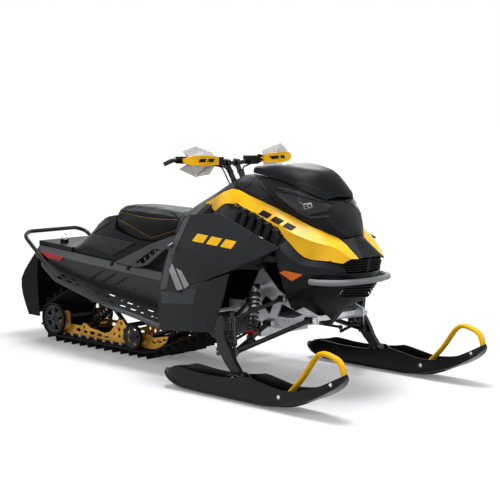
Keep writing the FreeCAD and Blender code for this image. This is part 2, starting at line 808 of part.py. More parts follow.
def band_rows():
    """Stations of the coloured side band: upper edge, crease, lower edge."""
    return [
        [(109, 160, 853), (150, 175, 842), (217, 200, 820)],
        [(300, 160, 934), (296, 182, 905), (289, 202, 863)],
        [(440, 173, 905), (425, 195, 880), (400, 212, 858)],
        [(580, 181, 870), (600, 222, 828), (622, 240, 796)],
        [(730, 173, 820), (765, 250, 762), (757, 258, 722)],
        [(832, 161, 780), (880, 206, 719), (845, 232, 645)],
        [(927, 88, 730), (965, 148, 691), (935, 192, 634)],
        [(1050, 88, 645), (1030, 118, 645), (1007, 150, 624)],
    ]


def hood_bands():
    """Coloured bands down both sides of the hood."""
    return both(skin(flow_along(side_rows(band_rows())), panel_wall, Vector(500, 0, 500)))


def windshield():
    """Low visor with a raised middle over the instruments."""
    rows = [
        [(420, 0, 1034), (420, 100, 1050), (420, 132, 1040), (424, 140, 1018)],
        [(560, 0, 1046), (560, 98, 1062), (560, 142, 1040), (560, 166, 1002)],
        [(690, 0, 1044), (690, 88, 1046), (690, 146, 1012), (690, 170, 978)],
        [(770, 0, 1028), (770, 70, 1024), (772, 124, 984), (778, 158, 946)],
        [(815, 0, 986), (815, 48, 980), (822, 96, 946), (832, 124, 920)],
        [(850, 0, 914), (850, 40, 912), (852, 70, 910), (854, 96, 906)],
    ]
    return skin(flow_across(flow_along(full_rows(rows))), panel_wall, Vector(600, 0, 700))


def lamp_opening(shrink):
    """Prism through both sides of the hood for the headlamps, smaller all round by the given amount."""
    outline = [(612, 935), (717, 928), (850, 900), (872, 872), (812, 834), (738, 850), (690, 884)]
    corners = [Vector(x, 80, z) for x, z in outline]
    face = Part.Face(Part.makePolygon(corners + corners[:1]))
    if shrink:
        face = face.makeOffset2D(-shrink)
    return both(face.extrude(Vector(0, 160, 0)))


def nose_grille():
    """Slatted upper grille in the nose with the strip above it."""
    rows = [
        [(976, 0, 738), (972, 34, 733), (932, 84, 726)],
        [(1056, 0, 648), (1054, 60, 648), (1051, 84, 643)],
    ]
    strip = skin(full_rows(rows), panel_wall, Vector(500, 0, 500))
    back = skin(full_rows([
        [(1022, 0, 642), (1018, 76, 642), (978, 132, 634), (925, 184, 628)],
        [(1008, 0, 576), (1004, 72, 576), (964, 126, 576), (915, 180, 580)],
    ]), 3.0, Vector(500, 0, 600))
    slats = [back]
    for number in range(5):
        z = 634 - 12 * number
        front = 1046 - 4 * number
        half = [(front, 0), (front - 4, 80), (front - 46, 138), (front - 92, 184)]
        rear = [(x - 32, y - 4) for x, y in half[:0:-1]] + [(front - 34, 0)]
        slats.append(plan(half + rear, z - 4, z))
    rib = profile([(1028, 566), (1044, 640), (1052, 644), (1052, 648), (1036, 640), (1018, 566)], 0, 8)
    rib = fused([rib, mirrored(rib)])
    return strip, slats, rib


def front_bumper():
    """Bumper bar wrapped round the nose."""
    half = [(884, 238), (930, 236), (988, 204), (1020, 164), (1046, 80), (1052, 0)]
    corners = [Vector(x, y, bumper_height) for x, y in half]
    right = [Vector(corner.x, -corner.y, corner.z) for corner in corners[:-1]]
    return tube(corners + right[::-1], bumper_bar, 60)


def fairing_rows():
    """Stations of the cheek between the coloured band and the lower nose shell."""
    return [
        [(757, 257, 717), (709, 292, 686), (712, 270, 592)],
        [(842, 231, 640), (844, 256, 614), (849, 244, 576)],
        [(935, 191, 628), (938, 208, 604), (939, 202, 574)],
        [(1000, 142, 612), (1002, 130, 594), (1006, 112, 572)],
    ]


def belly_rows():
    """Stations of the lower nose shell from the wheel opening round to the middle."""
    return [
        [(712, 270, 592), (735, 262, 505), (745, 240, 440), (735, 205, 395), (725, 160, 372)],
        [(849, 244, 576), (862, 236, 505), (830, 205, 445), (775, 150, 385), (750, 118, 352)],
        [(939, 202, 574), (935, 170, 505), (905, 135, 447), (815, 105, 380), (775, 80, 335)],
        [(1006, 112, 572), (1010, 92, 505), (960, 78, 450), (850, 60, 378), (790, 45, 312)],
        [(1036, 0, 572), (1050, 0, 505), (1036, 0, 460), (880, 0, 378), (800, 0, 290)],
    ]


flange_share = 0.68


def belly_pan():
    """Lower nose shell with its cheeks and air slots, and the pan under the bulkhead."""
    inside = Vector(600, 0, 500)
    left = side_rows(belly_rows())
    right = [[Vector(corner.x, -corner.y, corner.z) for corner in row] for row in left[-2::-1]]
    bowl = skin(flow_along(left + right), panel_wall, inside)
    cheek_rows = [row[:2] + [(row[2][0] - 2, row[2][1] - 2, row[2][2] - 8)] for row in fairing_rows()]
    cheek = skin(flow_along(side_rows(cheek_rows)), panel_wall, inside)
    rear_edge = [(x + 4, y - 2, z) for x, y, z in fairing_rows()[0][:2] + belly_rows()[0][:4]]
    inner_edge = [(x - 6, y * flange_share, z) for x, y, z in rear_edge]
    flange = skin(side_rows([rear_edge, inner_edge]), panel_wall, Vector(-2000, 0, 500))
    top = bulkhead_floor - fit_gap
    half = bulkhead_half - 18
    lip = [(row[-1][0] - 1, row[-1][1], row[-1][2] + 5) for row in belly_rows()]
    floor = skin(full_rows([
        [(285, 0, top), (285, 80, top), (285, half, top)],
        [(640, 0, top), (640, 80, top), (640, half, top)],
        [(705, 0, top - 30), (705, 80, top - 22), (700, half, top - 2)],
        [lip[4], lip[3], lip[2]],
    ]), panel_wall, Vector(500, 0, 800))
    shell = fused([bowl, floor, cheek, mirrored(cheek), flange, mirrored(flange)])
    slots = []
    for number in range(5):
        slots.append(Part.makeBox(200, 230, 7, Vector(920, -115, 512 - 13 * number)))
    return shell.cut(Part.makeCompound(slots))


def panel_stations():
    """Stations of the crowned skin that both side panels are trimmed from."""
    rows = []
    levels = (850, 700, 570, 430, 200)
    for x, widths in (
        (-20, (268, 335, 385, 398, panel_rear_half)), (200, (280, 362, 415, 415, 403)),
        (400, (280, 370, 425, 420, 403)), (600, (272, 365, 420, 415, 395)), (840, (262, 345, 395, 390, 380)),
    ):
        rows.append([(x, y, z) for y, z in zip(widths, levels)])
    return flow_across(flow_along(side_rows(rows)), 3)


def panel_skin():
    """Crowned outer skin of the side panels."""
    return skin(panel_stations(), panel_wall, Vector(400, 0, 550))


def footwell_wall(inner_y, low, high):
    """Wall across from the skin inwards that closes the panels behind the engine."""
    rows = []
    for corner in panel_stations()[2]:
        if low < corner.z < high:
            rows.append([Vector(corner.x, corner.y - 1.5, corner.z), Vector(corner.x, inner_y, corner.z)])
    return skin(rows, panel_wall, Vector(900, 300, 500))


def side_panels():
    """Large upper side panels."""
    outline = [
        (27, 433), (193, 444), (543, 572), (792, 692), (766, 704), (346, 824), (147, 805), (103, 796), (73, 624),
        (60, 580),
    ]
    panel = panel_skin().common(profile(outline, 150, 500))
    arch = skin(side_rows([
        [(543, 420, 572), (560, 340, 582), (580, 250, 597)],
        [(660, 388, 640), (668, 335, 652), (680, 268, 660)],
        [(768, 350, 696), (750, 330, 706), (731, 304, 708)],
    ]), panel_wall, Vector(600, 200, 900))
    return both(fused([panel, arch, footwell_wall(232, 440, 745)]))


def lower_panels():
    """Lower side panels down to the running boards."""
    outline = [(14, 426), (193, 437), (543, 562), (506, 457), (440, 321), (403, 262), (19, 227)]
    panel = panel_skin().common(profile(outline, 150, 500))
    return both(fused([panel, footwell_wall(tunnel_half + fit_gap, 230, 436)]))


def louvres():
    """Curved louvre blades between band and side panel."""
    back = skin(side_rows([
        [(217, 194, 830), (225, 234, 790)], [(289, 196, 872), (320, 240, 772)], [(400, 207, 867), (420, 246, 756)],
        [(622, 236, 802), (640, 258, 712)], [(757, 254, 731), (740, 262, 684)],
    ]), panel_wall, Vector(400, 0, 500))
    blades = []
    for x, z in ((392, 862), (450, 850), (508, 836), (566, 818), (624, 798), (682, 770)):
        root = 208 + (x - 392) * 0.12
        blades.append(profile([(x, z), (x + 20, z - 6), (x + 34, z - 34), (x + 22, z - 82), (x + 6, z - 80),
                               (x + 16, z - 36)], root, root + 38))
    return both(fused([back] + blades))


def arm_clevis(pivot, half):
    """Two ears and a pin on the bulkhead's side for the inner barrel of an arm."""
    depth = pivot.y + arm_pin - bulkhead_half
    pieces = [bar(pivot - Vector(half + 7, 0, 0), pivot + Vector(half + 7, 0, 0), arm_pin)]
    for x in (pivot.x - half - fit_gap - 6, pivot.x + half + fit_gap):
        pieces.append(Part.makeBox(6, depth, 28, Vector(x, bulkhead_half, pivot.z - 14)))
    return pieces


def housing_block(wall, half):
    """The steering housing's inner block, grown by a wall in the side view."""
    x, z = housing_centre
    long = housing_long / 2 + wall
    high = housing_high / 2 + wall
    rim = [(x - long, z - high), (x + long, z - high), (x + long, z + high), (x - long, z + high)]
    return profile(rim, -half, half)


def bulkhead():
    """Cast front bulkhead: pierced side plates on a floor, with ears for the arms and beams to the tunnel."""
    inner = bulkhead_half - bulkhead_wall
    plate = profile([(503, 570), (624, 460), (720, 420), (872, 368), (872, 329), (653, 282), (540, 272), (510, 296),
                     (428, 296), (425, 430)], inner, bulkhead_half)
    window = profile([(530, 430), (590, 405), (560, 340), (500, 390)], inner - 5, bulkhead_half + 5)
    window = window.fuse(profile([(640, 400), (780, 362), (660, 320), (610, 335)], inner - 5, bulkhead_half + 5))
    plate = plate.cut(window)
    edge = [(285, bulkhead_half), (690, bulkhead_half), (825, 70)]
    floor = plan(edge + [(x, -y) for x, y in edge[::-1]], bulkhead_floor, bulkhead_floor + floor_thickness)
    cross = Part.makeBox(20, 2 * bulkhead_half, 24, Vector(806, -bulkhead_half, bulkhead_floor + 2))
    beam = Part.makeBox(200, bulkhead_wall, 60, Vector(240, inner, bulkhead_floor + 2))
    panel_stay = bar(Vector(350, bulkhead_half - 2, 350), Vector(350, 430, 350), 8)
    pin = bar(Vector(shock_top.x, bulkhead_half, shock_top.z), shock_top + Vector(0, 18, 0), arm_pin)
    boss_end = shock_top - Vector(0, shock_eye + fit_gap, 0)
    boss = bar(Vector(shock_top.x, bulkhead_half - 4, shock_top.z), boss_end, 15)
    hollow = housing_block(0, bulkhead_half + 5)
    housing = housing_block(housing_wall, bulkhead_half).cut(hollow)
    side = [plate, beam, pin, boss, panel_stay]
    for pivot in lower_pivots:
        side += arm_clevis(pivot, lower_barrel)
    for pivot in upper_pivots:
        side += arm_clevis(pivot, upper_barrel)
    whole = fused([floor, cross, housing] + side + [mirrored(shape) for shape in side]).cut(hollow)
    x, z = sprocket
    wall = bar(Vector(x, -tunnel_half, z), Vector(x, tunnel_half, z), tunnel_wrap + fit_gap)
    return whole.cut(wall)


def engine():
    """Engine as one plain block on the bulkhead's floor."""
    return Part.makeBox(250, 230, 245, Vector(290, -115, bulkhead_floor + floor_thickness + fit_gap))


def brace_frame():
    """Brace plates on the tunnel's edge and tubes from them and the bulkhead to the steering post bearing."""
    collar = bar(bearing_point - post_axis * 20, bearing_point + post_axis * 20, 24)
    outline = [(-565, deck_height(-565) + fit_gap), (-385, deck_height(-385) + fit_gap), (-300, 508), (-150, 608),
               (30, 660), (30, 720), (-53, 690), (-267, 622)]
    plate = profile(outline, deck_half, deck_half + 8)
    plate = plate.cut(profile([(-400, 510), (-330, 512), (-200, 600), (-250, 596)], deck_half - 6, deck_half + 14))
    plate = fused([plate] + [bar(Vector(x, deck_half + 4, low), Vector(x - 14, deck_half + 4, low + 24), 6)
                             for x, low in ((-350, 496), (-310, 520), (-270, 545), (-230, 570), (-190, 594))])
    upper = bar(Vector(16, deck_half + 4, 692), bearing_point + Vector(0, 18, 0), frame_tube)
    front = bar(bearing_point + Vector(0, 18, 0), Vector(510, 158, 556), frame_tube)
    upper_stay = bar(Vector(500, 158, 560), Vector(500, 430, 590), 9)
    rear_stay = bar(Vector(16, deck_half + 4, 692), Vector(110, 420, 650), 9)
    side = [plate, upper, front, upper_stay, rear_stay]
    whole = fused([collar] + side + [mirrored(shape) for shape in side])
    hole = bar(bearing_point - post_axis * 60, bearing_point + post_axis * 60, post_radius + pin_gap)
    return biggest(whole.cut(hole))


def ring_end(centre, axis, outer, inner, half):
    """A ring about an axis, for the end of an arm."""
    along = Vector(axis).normalize()
    return bar(centre - along * half, centre + along * half, outer), bar(
        centre - along * (half + 20), centre + along * (half + 20), inner)


def arm_pair(ball, pivots, barrel, radius):
    """One A-arm: two tubes from its ball ring to its inner barrels."""
    ring, hole = ring_end(ball, kingpin_axis, 20, kingpin_pin + pin_gap, 11)
    pieces = [ring]
    bores = [hole]
    for pivot in pivots:
        reach = Vector(barrel, 0, 0)
        pieces.append(bar(ball, pivot, radius))
        pieces.append(bar(pivot - reach, pivot + reach, arm_barrel))
        bores.append(bar(pivot - reach * 2, pivot + reach * 2, arm_pin + pin_gap))
    return pieces, bores


def lower_arms():
    """Lower A-arms, each with a cross plate and ears for its damper."""
    pieces, bores = arm_pair(lower_ball, lower_pivots, lower_barrel, arm_tube)
    y = shock_bottom.y
    tie = bar(Vector(600, y, 233), Vector(688, y, 248), 9)
    pieces.append(tie)
    for x in (shock_bottom.x - shock_eye - fit_gap - 5, shock_bottom.x + shock_eye + fit_gap):
        pieces.append(Part.makeBox(5, 20, 32, Vector(x, y - 10, shock_bottom.z - 25)))
    pin = bar(shock_bottom - Vector(20, 0, 0), shock_bottom + Vector(20, 0, 0), arm_pin)
    body = fused(pieces).cut(Part.makeCompound(bores))
    return both(body.fuse(pin))


def upper_arms():
    """Upper A-arms."""
    pieces, bores = arm_pair(upper_ball, upper_pivots, upper_barrel, arm_tube - 2)
    return both(fused(pieces).cut(Part.makeCompound(bores)))


def front_shocks():
    """Front dampers with springs, their eyes on the pins of bulkhead and lower arm."""
    along = (shock_bottom - shock_top).normalize()
    body = coil_over(shock_top + along * 6, shock_bottom - along * 6, 18, 29, 8)
    top = bar(shock_top - Vector(0, shock_eye, 0), shock_top + Vector(0, shock_eye, 0), 14)
    low = bar(shock_bottom - Vector(shock_eye, 0, 0), shock_bottom + Vector(shock_eye, 0, 0), 12)
    piece = fused([body, top, low])
    piece = piece.cut(bar(shock_top - Vector(0, 40, 0), shock_top + Vector(0, 40, 0), arm_pin + pin_gap))
    piece = piece.cut(bar(shock_bottom - Vector(40, 0, 0), shock_bottom + Vector(40, 0, 0), arm_pin + pin_gap))
    return both(piece)


def spindle():
    """Left spindle: column with a stud at each ball, a curved leg, a steering arm and the foot."""
    along = Vector(kingpin_axis).normalize()
    low_boss = lower_ball + along * 32
    high_boss = upper_ball - along * 18
    pieces = [
        bar(low_boss, high_boss, 15),
        bar(lower_ball - along * 22, low_boss, kingpin_pin),
        bar(lower_ball - along * 22, lower_ball - along * 12, 12),
        bar(high_boss, upper_ball + along * 30, kingpin_pin),
        bar(upper_ball + along * 22, upper_ball + along * 30, 12),
    ]
    leg = [
        (588, 372), (566, 376), (546, 352), (536, 300), (552, 222), (596, 160), (640, 118), (668, 92),
        (712, 92), (704, 118), (660, 170), (634, 220), (604, 262), (590, 300), (596, 345),
    ]
    pieces.append(profile(leg, 488, 512))
    boss = saddle_half - fit_gap
    pieces.append(bar(ski_bolt - Vector(0, boss, 0), ski_bolt + Vector(0, boss, 0), 20))
    for place in (30, 60, 88):
        start = lower_ball + along * (place + 8)
        pieces.append(bar(start, Vector(start.x, 498, start.z), 10))
    pin_foot = tie_rod_outer - along * 20
    pieces.append(bar(Vector(562, 498, 222), pin_foot, 8))
    pieces.append(bar(tie_rod_outer - along * 28, tie_rod_outer - along * 12, 12))
    pieces.append(bar(tie_rod_outer - along * 20, tie_rod_outer + along * 12, 5))
    body = fused(pieces)
    return body.cut(bar(ski_bolt - Vector(0, 40, 0), ski_bolt + Vector(0, 40, 0), ski_bolt_radius + pin_gap))


def tie_rod():
    """Left tie rod, its outer end on the pin of the steering arm."""
    ring, hole = ring_end(tie_rod_outer, kingpin_axis, 12, 5 + pin_gap, 8)
    rod = bar(tie_rod_outer, tie_rod_inner, 7)
    end = Part.makeSphere(12, tie_rod_inner)
    return fused([ring, rod, end]).cut(hole)


def ski_side(bottom, top, y_low, y_high):
    """A long plate of the ski between a lower and an upper edge."""
    return profile(bottom + top[::-1], y_low, y_high)


def ski():
    """Left ski: floor with a keel, raised side walls and a saddle with its bolt."""
    middle = ski_stance / 2
    half = ski_width / 2
    low = [
        (ski_rear_x, 71), (290, 36), (372, 14), (546, keel_depth), (905, keel_depth), (1000, 20), (1080, 40),
        (1204, 84), (1300, 134), (ski_front_x, 196),
    ]
    floor_top = [(x, z + ski_floor) for x, z in low[:-1]] + [(ski_front_x, 208)]
    rim = [
        (ski_rear_x, 83), (300, 90), (345, 112), (499, 99), (640, 103), (812, 128), (935, 104), (1038, 94),
        (1163, 120), (1284, 172), (ski_front_x, 209),
    ]
    floor = ski_side(low, floor_top, middle - half, middle + half)
    wall = ski_side(low, rim, middle + half - 16, middle + half - 16 + ski_wall)
    other = ski_side(low, rim, middle - half + 16 - ski_wall, middle - half + 16)
    keel = [(400, 0), (905, 0), (1010, 12), (1080, 30), (1080, 44), (905, 16), (400, 16), (360, 20)]
    keel = profile(keel, middle - 16, middle + 16)
    outline = [
        (ski_rear_x, middle - 40), (ski_rear_x + 60, middle - half), (1120, middle - half),
        (1270, middle - half * 0.8), (ski_front_x, middle - 26), (ski_front_x, middle + 26),
        (1270, middle + half * 0.8), (1120, middle + half), (ski_rear_x + 60, middle + half),
        (ski_rear_x, middle + 40),
    ]
    body = fused([floor, wall, other, keel]).common(plan(outline, -10, 300))
    saddle = [(600, 18), (780, 18), (770, 60), (722, 122), (658, 122), (612, 60)]
    cheek = profile(saddle, middle + saddle_half, middle + saddle_half + 10)
    cheek_right = profile(saddle, middle - saddle_half - 10, middle - saddle_half)
    reach = saddle_half + 14
    bolt = bar(ski_bolt - Vector(0, reach, 0), ski_bolt + Vector(0, reach, 0), ski_bolt_radius)
    return fused([body, cheek, cheek_right, bolt])


def ski_loop():
    """Left ski's pull loop."""
    middle = ski_stance / 2
    points = [(958, 22), (1057, 118), (1107, 172), (1156, 239), (1205, 281), (1272, 266), (1322, 242), (1328, 186)]
    return tube([Vector(x, middle, z) for x, z in points], 11, 45)


def handlebar():
    """Steering post, forked riser, clamps and the bent bar."""
    fork = clamp_point - post_axis * 150
    pieces = [bar(fork, clamp_point - post_axis * 300, post_radius)]
    pieces.append(bar(fork - Vector(0, 34, 0), fork + Vector(0, 34, 0), 15))
    for side in (-34, 34):
        pieces.append(bar(fork + Vector(0, side, 0), clamp_point + Vector(0, side, 0), 13))
        pieces.append(bar(clamp_point + Vector(0, side - 12, 0), clamp_point + Vector(0, side + 12, 0), 20))
    half = [Vector(133, 0, 1050), Vector(133, 70, 1050), Vector(150, 170, 1066), Vector(132, 400, 1078),
            Vector(96, 428, 1056)]
    right = [Vector(corner.x, -corner.y, corner.z) for corner in half[1:]]
    pieces.append(tube(right[::-1] + half[1:], bar_radius, 40))
    return fused(pieces)


def grips():
    """Rubber grips on the bar ends."""
    start = Vector(149.2, 180, 1066.5)
    end = Vector(133.5, 380, 1077)
    return bar(start, end, grip_radius)


def hand_guards():
    """Coloured guard band in front of the left grip, on a stalk from the bar."""
    rows = side_rows([
        [(202, 160, 1088), (206, 162, 1048)], [(222, 250, 1098), (226, 252, 1046)],
        [(208, 340, 1098), (210, 342, 1050)], [(186, 384, 1084), (188, 384, 1066)],
    ])
    band = skin(rows, 10.0, Vector(100, 250, 1070))
    stalk = bar(Vector(146, 150, 1063), Vector(196, 168, 1066), 8)
    return band, stalk


def deflectors():
    """Clear wind sheet behind the left guard band, standing above and below it."""
    rows = side_rows([
        [(176, 178, 1108), (189, 172, 1086), (193, 172, 1050), (168, 190, 1000)],
        [(186, 300, 1143), (211, 252, 1096), (215, 252, 1048), (150, 270, 990)],
        [(164, 366, 1120), (188, 360, 1090), (190, 360, 1058), (140, 366, 1030)],
    ])
    return skin(rows, 3.0, Vector(0, 250, 1070))


def bar_controls():
    """Switch blocks and levers beside the grips."""
    block = Part.makeBox(56, 60, 44, Vector(118, 96, 1040))
    lever = tube([Vector(168, 140, 1062), Vector(184, 200, 1062), Vector(180, 330, 1066)], 5, 30)
    return block, lever


def export(name, shape):
    """Write one sub-part, moved so that the overall box is centred on the origin."""
    placed = shape.copy()
    placed.translate(Vector(-MIDDLE_X, 0, 0))
    if not placed.isValid():
        print("not valid:", name)
    placed.exportStep("parts/" + name + ".step")
    print(name, len(placed.Solids), round(placed.Volume / 1000), "cm3")


def main():
    """Build every sub-part, cut neighbours to their seats and write them."""
    os.makedirs("parts", exist_ok=True)
    nodes = {}
    nodes["track"] = track()
    nodes["idler_wheels"] = idler_wheels()
    nodes["skid_rails"] = skid_rails()
    nodes["rail_slides"] = rail_slides()
    nodes["skid_arms"] = skid_arms()
    nodes["skid_shocks"] = skid_shocks()
    nodes["drive_axle"] = drive_axle()
    nodes["tunnel"] = tunnel()
    lower = lower_panels()
    boards = running_boards().cut(nodes["tunnel"]).cut(lower)
    boards = both(max(boards.Solids, key=lambda solid: (round(solid.Volume), solid.CenterOfMass.y)))
    nodes["running_boards"] = boards
    nodes["rear_bumper"] = biggest(rear_bumper().cut(boards))
    nodes["snow_flap"] = snow_flap()
    nodes["tail_lamps"] = tail_lamps()
    nodes["cargo_deck"] = cargo_deck()
    nodes["tail_cover"] = tail_cover()
    nodes["seat"] = seat()
    bands = hood_bands()
    hood_shell = hood()
    nodes["hood_bands"] = bands
    nodes["hood"] = biggest(hood_shell.cut(bands).cut(lamp_opening(0)))
    nodes["headlamps"] = hood_shell.common(lamp_opening(fit_gap)).cut(bands)
    nodes["console"] = biggest(console().cut(bands))
    nodes["windshield"] = biggest(windshield().cut(hood_shell))
    nodes["bulkhead"] = biggest(bulkhead().cut(lower))
    sides = side_panels()
    pan = biggest(belly_pan().cut(Part.makeCompound([nodes["bulkhead"], bands, sides])))
    nodes["belly_pan"] = pan
    nodes["front_bumper"] = biggest(front_bumper().cut(pan))
    nodes["side_panels"] = sides
    nodes["lower_panels"] = lower
    nodes["louvres"] = both(biggest(louvres().cut(bands).cut(pan)))
    nodes["engine"] = engine()
    nodes["brace_frame"] = biggest(brace_frame().cut(nodes["bulkhead"]).cut(sides))
    nodes["lower_arms"] = lower_arms()
    nodes["upper_arms"] = upper_arms()
    nodes["front_shocks"] = front_shocks()
    bars = handlebar()
    nodes["handlebar"] = bars
    nodes["grips"] = both(grips().cut(bars))
    strip, slats, rib = nose_grille()
    grille = fused([strip, rib] + slats + [mirrored(slat) for slat in slats])
    nodes["nose_grille"] = biggest(grille.cut(bands).cut(pan))
    band, stalk = hand_guards()
    guard = fused([band, stalk]).cut(bars)
    nodes["hand_guards"] = both(guard)
    nodes["deflectors"] = both(biggest(deflectors().cut(guard)))
    block, lever = bar_controls()
    control = biggest(fused([block, lever]).cut(bars).cut(guard))
    nodes["bar_controls"] = both(control)
    runner = ski()
    loop = biggest(ski_loop().cut(runner))
    for name, left in (("spindle", spindle()), ("tie_rod", tie_rod()), ("ski", runner), ("ski_loop", loop)):
        nodes[name + "_left"] = left
        nodes[name + "_right"] = mirrored(left)
    for name, shape in nodes.items():
        export(name, shape)


main()
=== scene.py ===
import math

import bmesh
import bpy
from mathutils import Euler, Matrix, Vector, kdtree
from mathutils.bvhtree import BVHTree


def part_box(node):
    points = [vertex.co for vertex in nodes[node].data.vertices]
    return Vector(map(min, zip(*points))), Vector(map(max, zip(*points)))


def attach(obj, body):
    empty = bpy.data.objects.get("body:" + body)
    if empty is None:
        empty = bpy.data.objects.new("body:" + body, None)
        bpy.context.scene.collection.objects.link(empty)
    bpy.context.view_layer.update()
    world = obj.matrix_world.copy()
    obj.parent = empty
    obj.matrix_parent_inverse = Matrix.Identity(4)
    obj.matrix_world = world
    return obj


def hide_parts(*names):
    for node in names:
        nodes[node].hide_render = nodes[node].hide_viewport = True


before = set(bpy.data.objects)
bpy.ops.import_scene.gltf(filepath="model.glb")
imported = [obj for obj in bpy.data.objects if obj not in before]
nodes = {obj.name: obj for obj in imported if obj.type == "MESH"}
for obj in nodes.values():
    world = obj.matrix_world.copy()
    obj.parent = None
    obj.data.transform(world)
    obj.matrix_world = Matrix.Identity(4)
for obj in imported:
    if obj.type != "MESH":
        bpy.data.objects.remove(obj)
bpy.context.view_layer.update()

# Snowmobile, metres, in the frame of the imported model: X forward, Y to the rider's left, Z up.

sides = (("left", 1), ("right", -1))
forward = Vector((1, 0, 0))
sideways = Vector((0, 1, 0))

# The photograph's camera, and the side of its square picture in pixels
camera_place = Vector((5.2014, -4.9972, 1.4135))
camera_heading = math.radians(134.505)
camera_fall = math.radians(6.5)
camera_rotation = Euler((math.radians(90) - camera_fall, 0, camera_heading - math.radians(90)))
camera_lens = 100.8
camera_sensor = 36.0
picture_side = 500

# The source draws in millimetres, about a point this far behind the middle of the overall box
drawing_shift = 0.0275
ski_middle = 510

# The leaning handlebar post: its upward direction, and the one square to it that looks ahead
post_up = Vector((-0.5, 0, 0.866))
post_ahead = Vector((0.866, 0, 0.5))

# Screen colours from 0 to 255
black = (13, 14, 16)
yellow = (250, 190, 16)
gold = (214, 156, 54)
red = (196, 26, 34)
amber = (242, 118, 24)
bright_steel = (214, 216, 220)


# Node tools

def set_inputs(tree, node, inputs):
    """Gives each named input its value, or a link where the value is another node's output."""
    for key, value in inputs.items():
        if isinstance(value, bpy.types.NodeSocket):
            tree.links.new(value, node.inputs[key])
        else:
            node.inputs[key].default_value = value


def add_node(tree, kind, inputs=None, **settings):
    """A node with its settings and inputs."""
    node = tree.nodes.new(kind)
    for key, value in settings.items():
        setattr(node, key, value)
    set_inputs(tree, node, inputs or {})
    return node


def set_shader(tree, inputs):
    """Inputs of a material's shader."""
    set_inputs(tree, tree.nodes["Principled BSDF"], inputs)


def shade(colour, share=1.0):
    """A screen colour as linear light, made lighter or darker by a share."""
    linear = []
    for value in colour:
        part = value / 255
        light = part / 12.92 if part <= 0.04045 else ((part + 0.055) / 1.055) ** 2.4
        linear.append(light * share)
    return (*linear, 1.0)


def object_place(tree):
    """The place on a piece in its own coordinates."""
    return add_node(tree, "ShaderNodeTexCoord").outputs["Object"]


def combined(tree, operation, first, second):
    """Two values combined by a sum, product or the like."""
    return add_node(tree, "ShaderNodeMath", {0: first, 1: second}, operation=operation).outputs["Value"]


def map_range(tree, value, low=0.0, high=1.0, to_low=0.0, to_high=1.0):
    """A value's way from low to high, as a value between two others."""
    inputs = {"Value": value, "From Min": low, "From Max": high, "To Min": to_low, "To Max": to_high}
    return add_node(tree, "ShaderNodeMapRange", inputs).outputs["Result"]


def add_noise(tree, scale, detail=3.0, stretch=(1, 1, 1)):
    """Noise with scale in features per metre."""
    mapping = add_node(tree, "ShaderNodeMapping", {"Vector": object_place(tree), "Scale": stretch})
    inputs = {"Vector": mapping.outputs["Vector"], "Scale": scale, "Detail": detail}
    return add_node(tree, "ShaderNodeTexNoise", inputs).outputs["Fac"]


def add_cells(tree, scale, feature):
    """Cell pattern with scale in cells per metre."""
    inputs = {"Vector": object_place(tree), "Scale": scale}
    return add_node(tree, "ShaderNodeTexVoronoi", inputs, feature=feature).outputs["Distance"]


def vary_colour(tree, tint, other, factor, low=0.35, high=0.65):
    """Base colour between tint and other, as the factor goes from low to high."""
    ramp = add_node(tree, "ShaderNodeValToRGB", {"Fac": factor})
    for stop, position, colour in zip(ramp.color_ramp.elements, (low, high), (tint, other)):
        stop.position = position
        stop.color = colour
    set_shader(tree, {"Base Color": ramp.outputs["Color"]})


def vary_roughness(tree, factor, low, high):
    """Roughness from low to high with the factor."""
    set_shader(tree, {"Roughness": map_range(tree, factor, to_low=low, to_high=high)})


def rounded_side(tree, radius):
    """The surface's direction as if its edges were rounded by a radius."""
    return add_node(tree, "ShaderNodeBevel", {"Radius": radius}, samples=4).outputs["Normal"]


def add_bump(tree, height, strength, distance, edge=0.0):
    """Bump from a height, with distance in metres, over edges rounded by a radius."""
    bump = add_node(tree, "ShaderNodeBump", {"Height": height, "Strength": strength, "Distance": distance})
    if edge:
        set_inputs(tree, bump, {"Normal": rounded_side(tree, edge)})
    set_shader(tree, {"Normal": bump.outputs["Normal"]})


def colour_where(tree, tint, mask):
    """A second colour on a material where a mask is 1."""
    before = tree.nodes["Principled BSDF"].inputs["Base Color"].links[0].from_socket
    mix = add_node(tree, "ShaderNodeMix", {0: mask, 6: before, 7: tint}, data_type="RGBA")
    set_shader(tree, {"Base Color": mix.outputs[2]})


def wear(tree, tint, strength):
    """The base colour gone over to a paler one along worn edges, broken up by noise."""
    worn_radius, open_face, sharp_edge = 0.0025, 0.985, 0.88
    true_side = add_node(tree, "ShaderNodeNewGeometry").outputs["Normal"]
    both = {0: rounded_side(tree, worn_radius), 1: true_side}
    agree = add_node(tree, "ShaderNodeVectorMath", both, operation="DOT_PRODUCT").outputs["Value"]
    edges = map_range(tree, agree, open_face, sharp_edge, 0.0, strength)
    colour_where(tree, tint, combined(tree, "MULTIPLY", edges, add_noise(tree, 120.0, 4.0)))


def colour_between(tree, colour, source, axis, low, high, top=None):
    """A second colour that comes in from low to high along an axis, and goes again above top.

    The source is "place", "either side" (how far the place is from zero) or "normal"."""
    if source == "normal":
        vector = add_node(tree, "ShaderNodeNewGeometry").outputs["True Normal"]
    else:
        vector = object_place(tree)
    if source == "either side":
        vector = add_node(tree, "ShaderNodeVectorMath", {0: vector}, operation="ABSOLUTE").outputs["Vector"]
    along = add_node(tree, "ShaderNodeSeparateXYZ", {"Vector": vector}).outputs[axis]
    mask = map_range(tree, along, low, high)
    if top is not None:
        fall = map_range(tree, along, top, top + high - low, 1.0, 0.0)
        mask = combined(tree, "MULTIPLY", mask, fall)
    colour_where(tree, shade(colour), mask)


# Materials, each kept under its name

materials = {}


def new_material(name):
    """An empty node material's tree."""
    material = bpy.data.materials.new(name)
    material.use_nodes = True
    materials[name] = material
    return material.node_tree


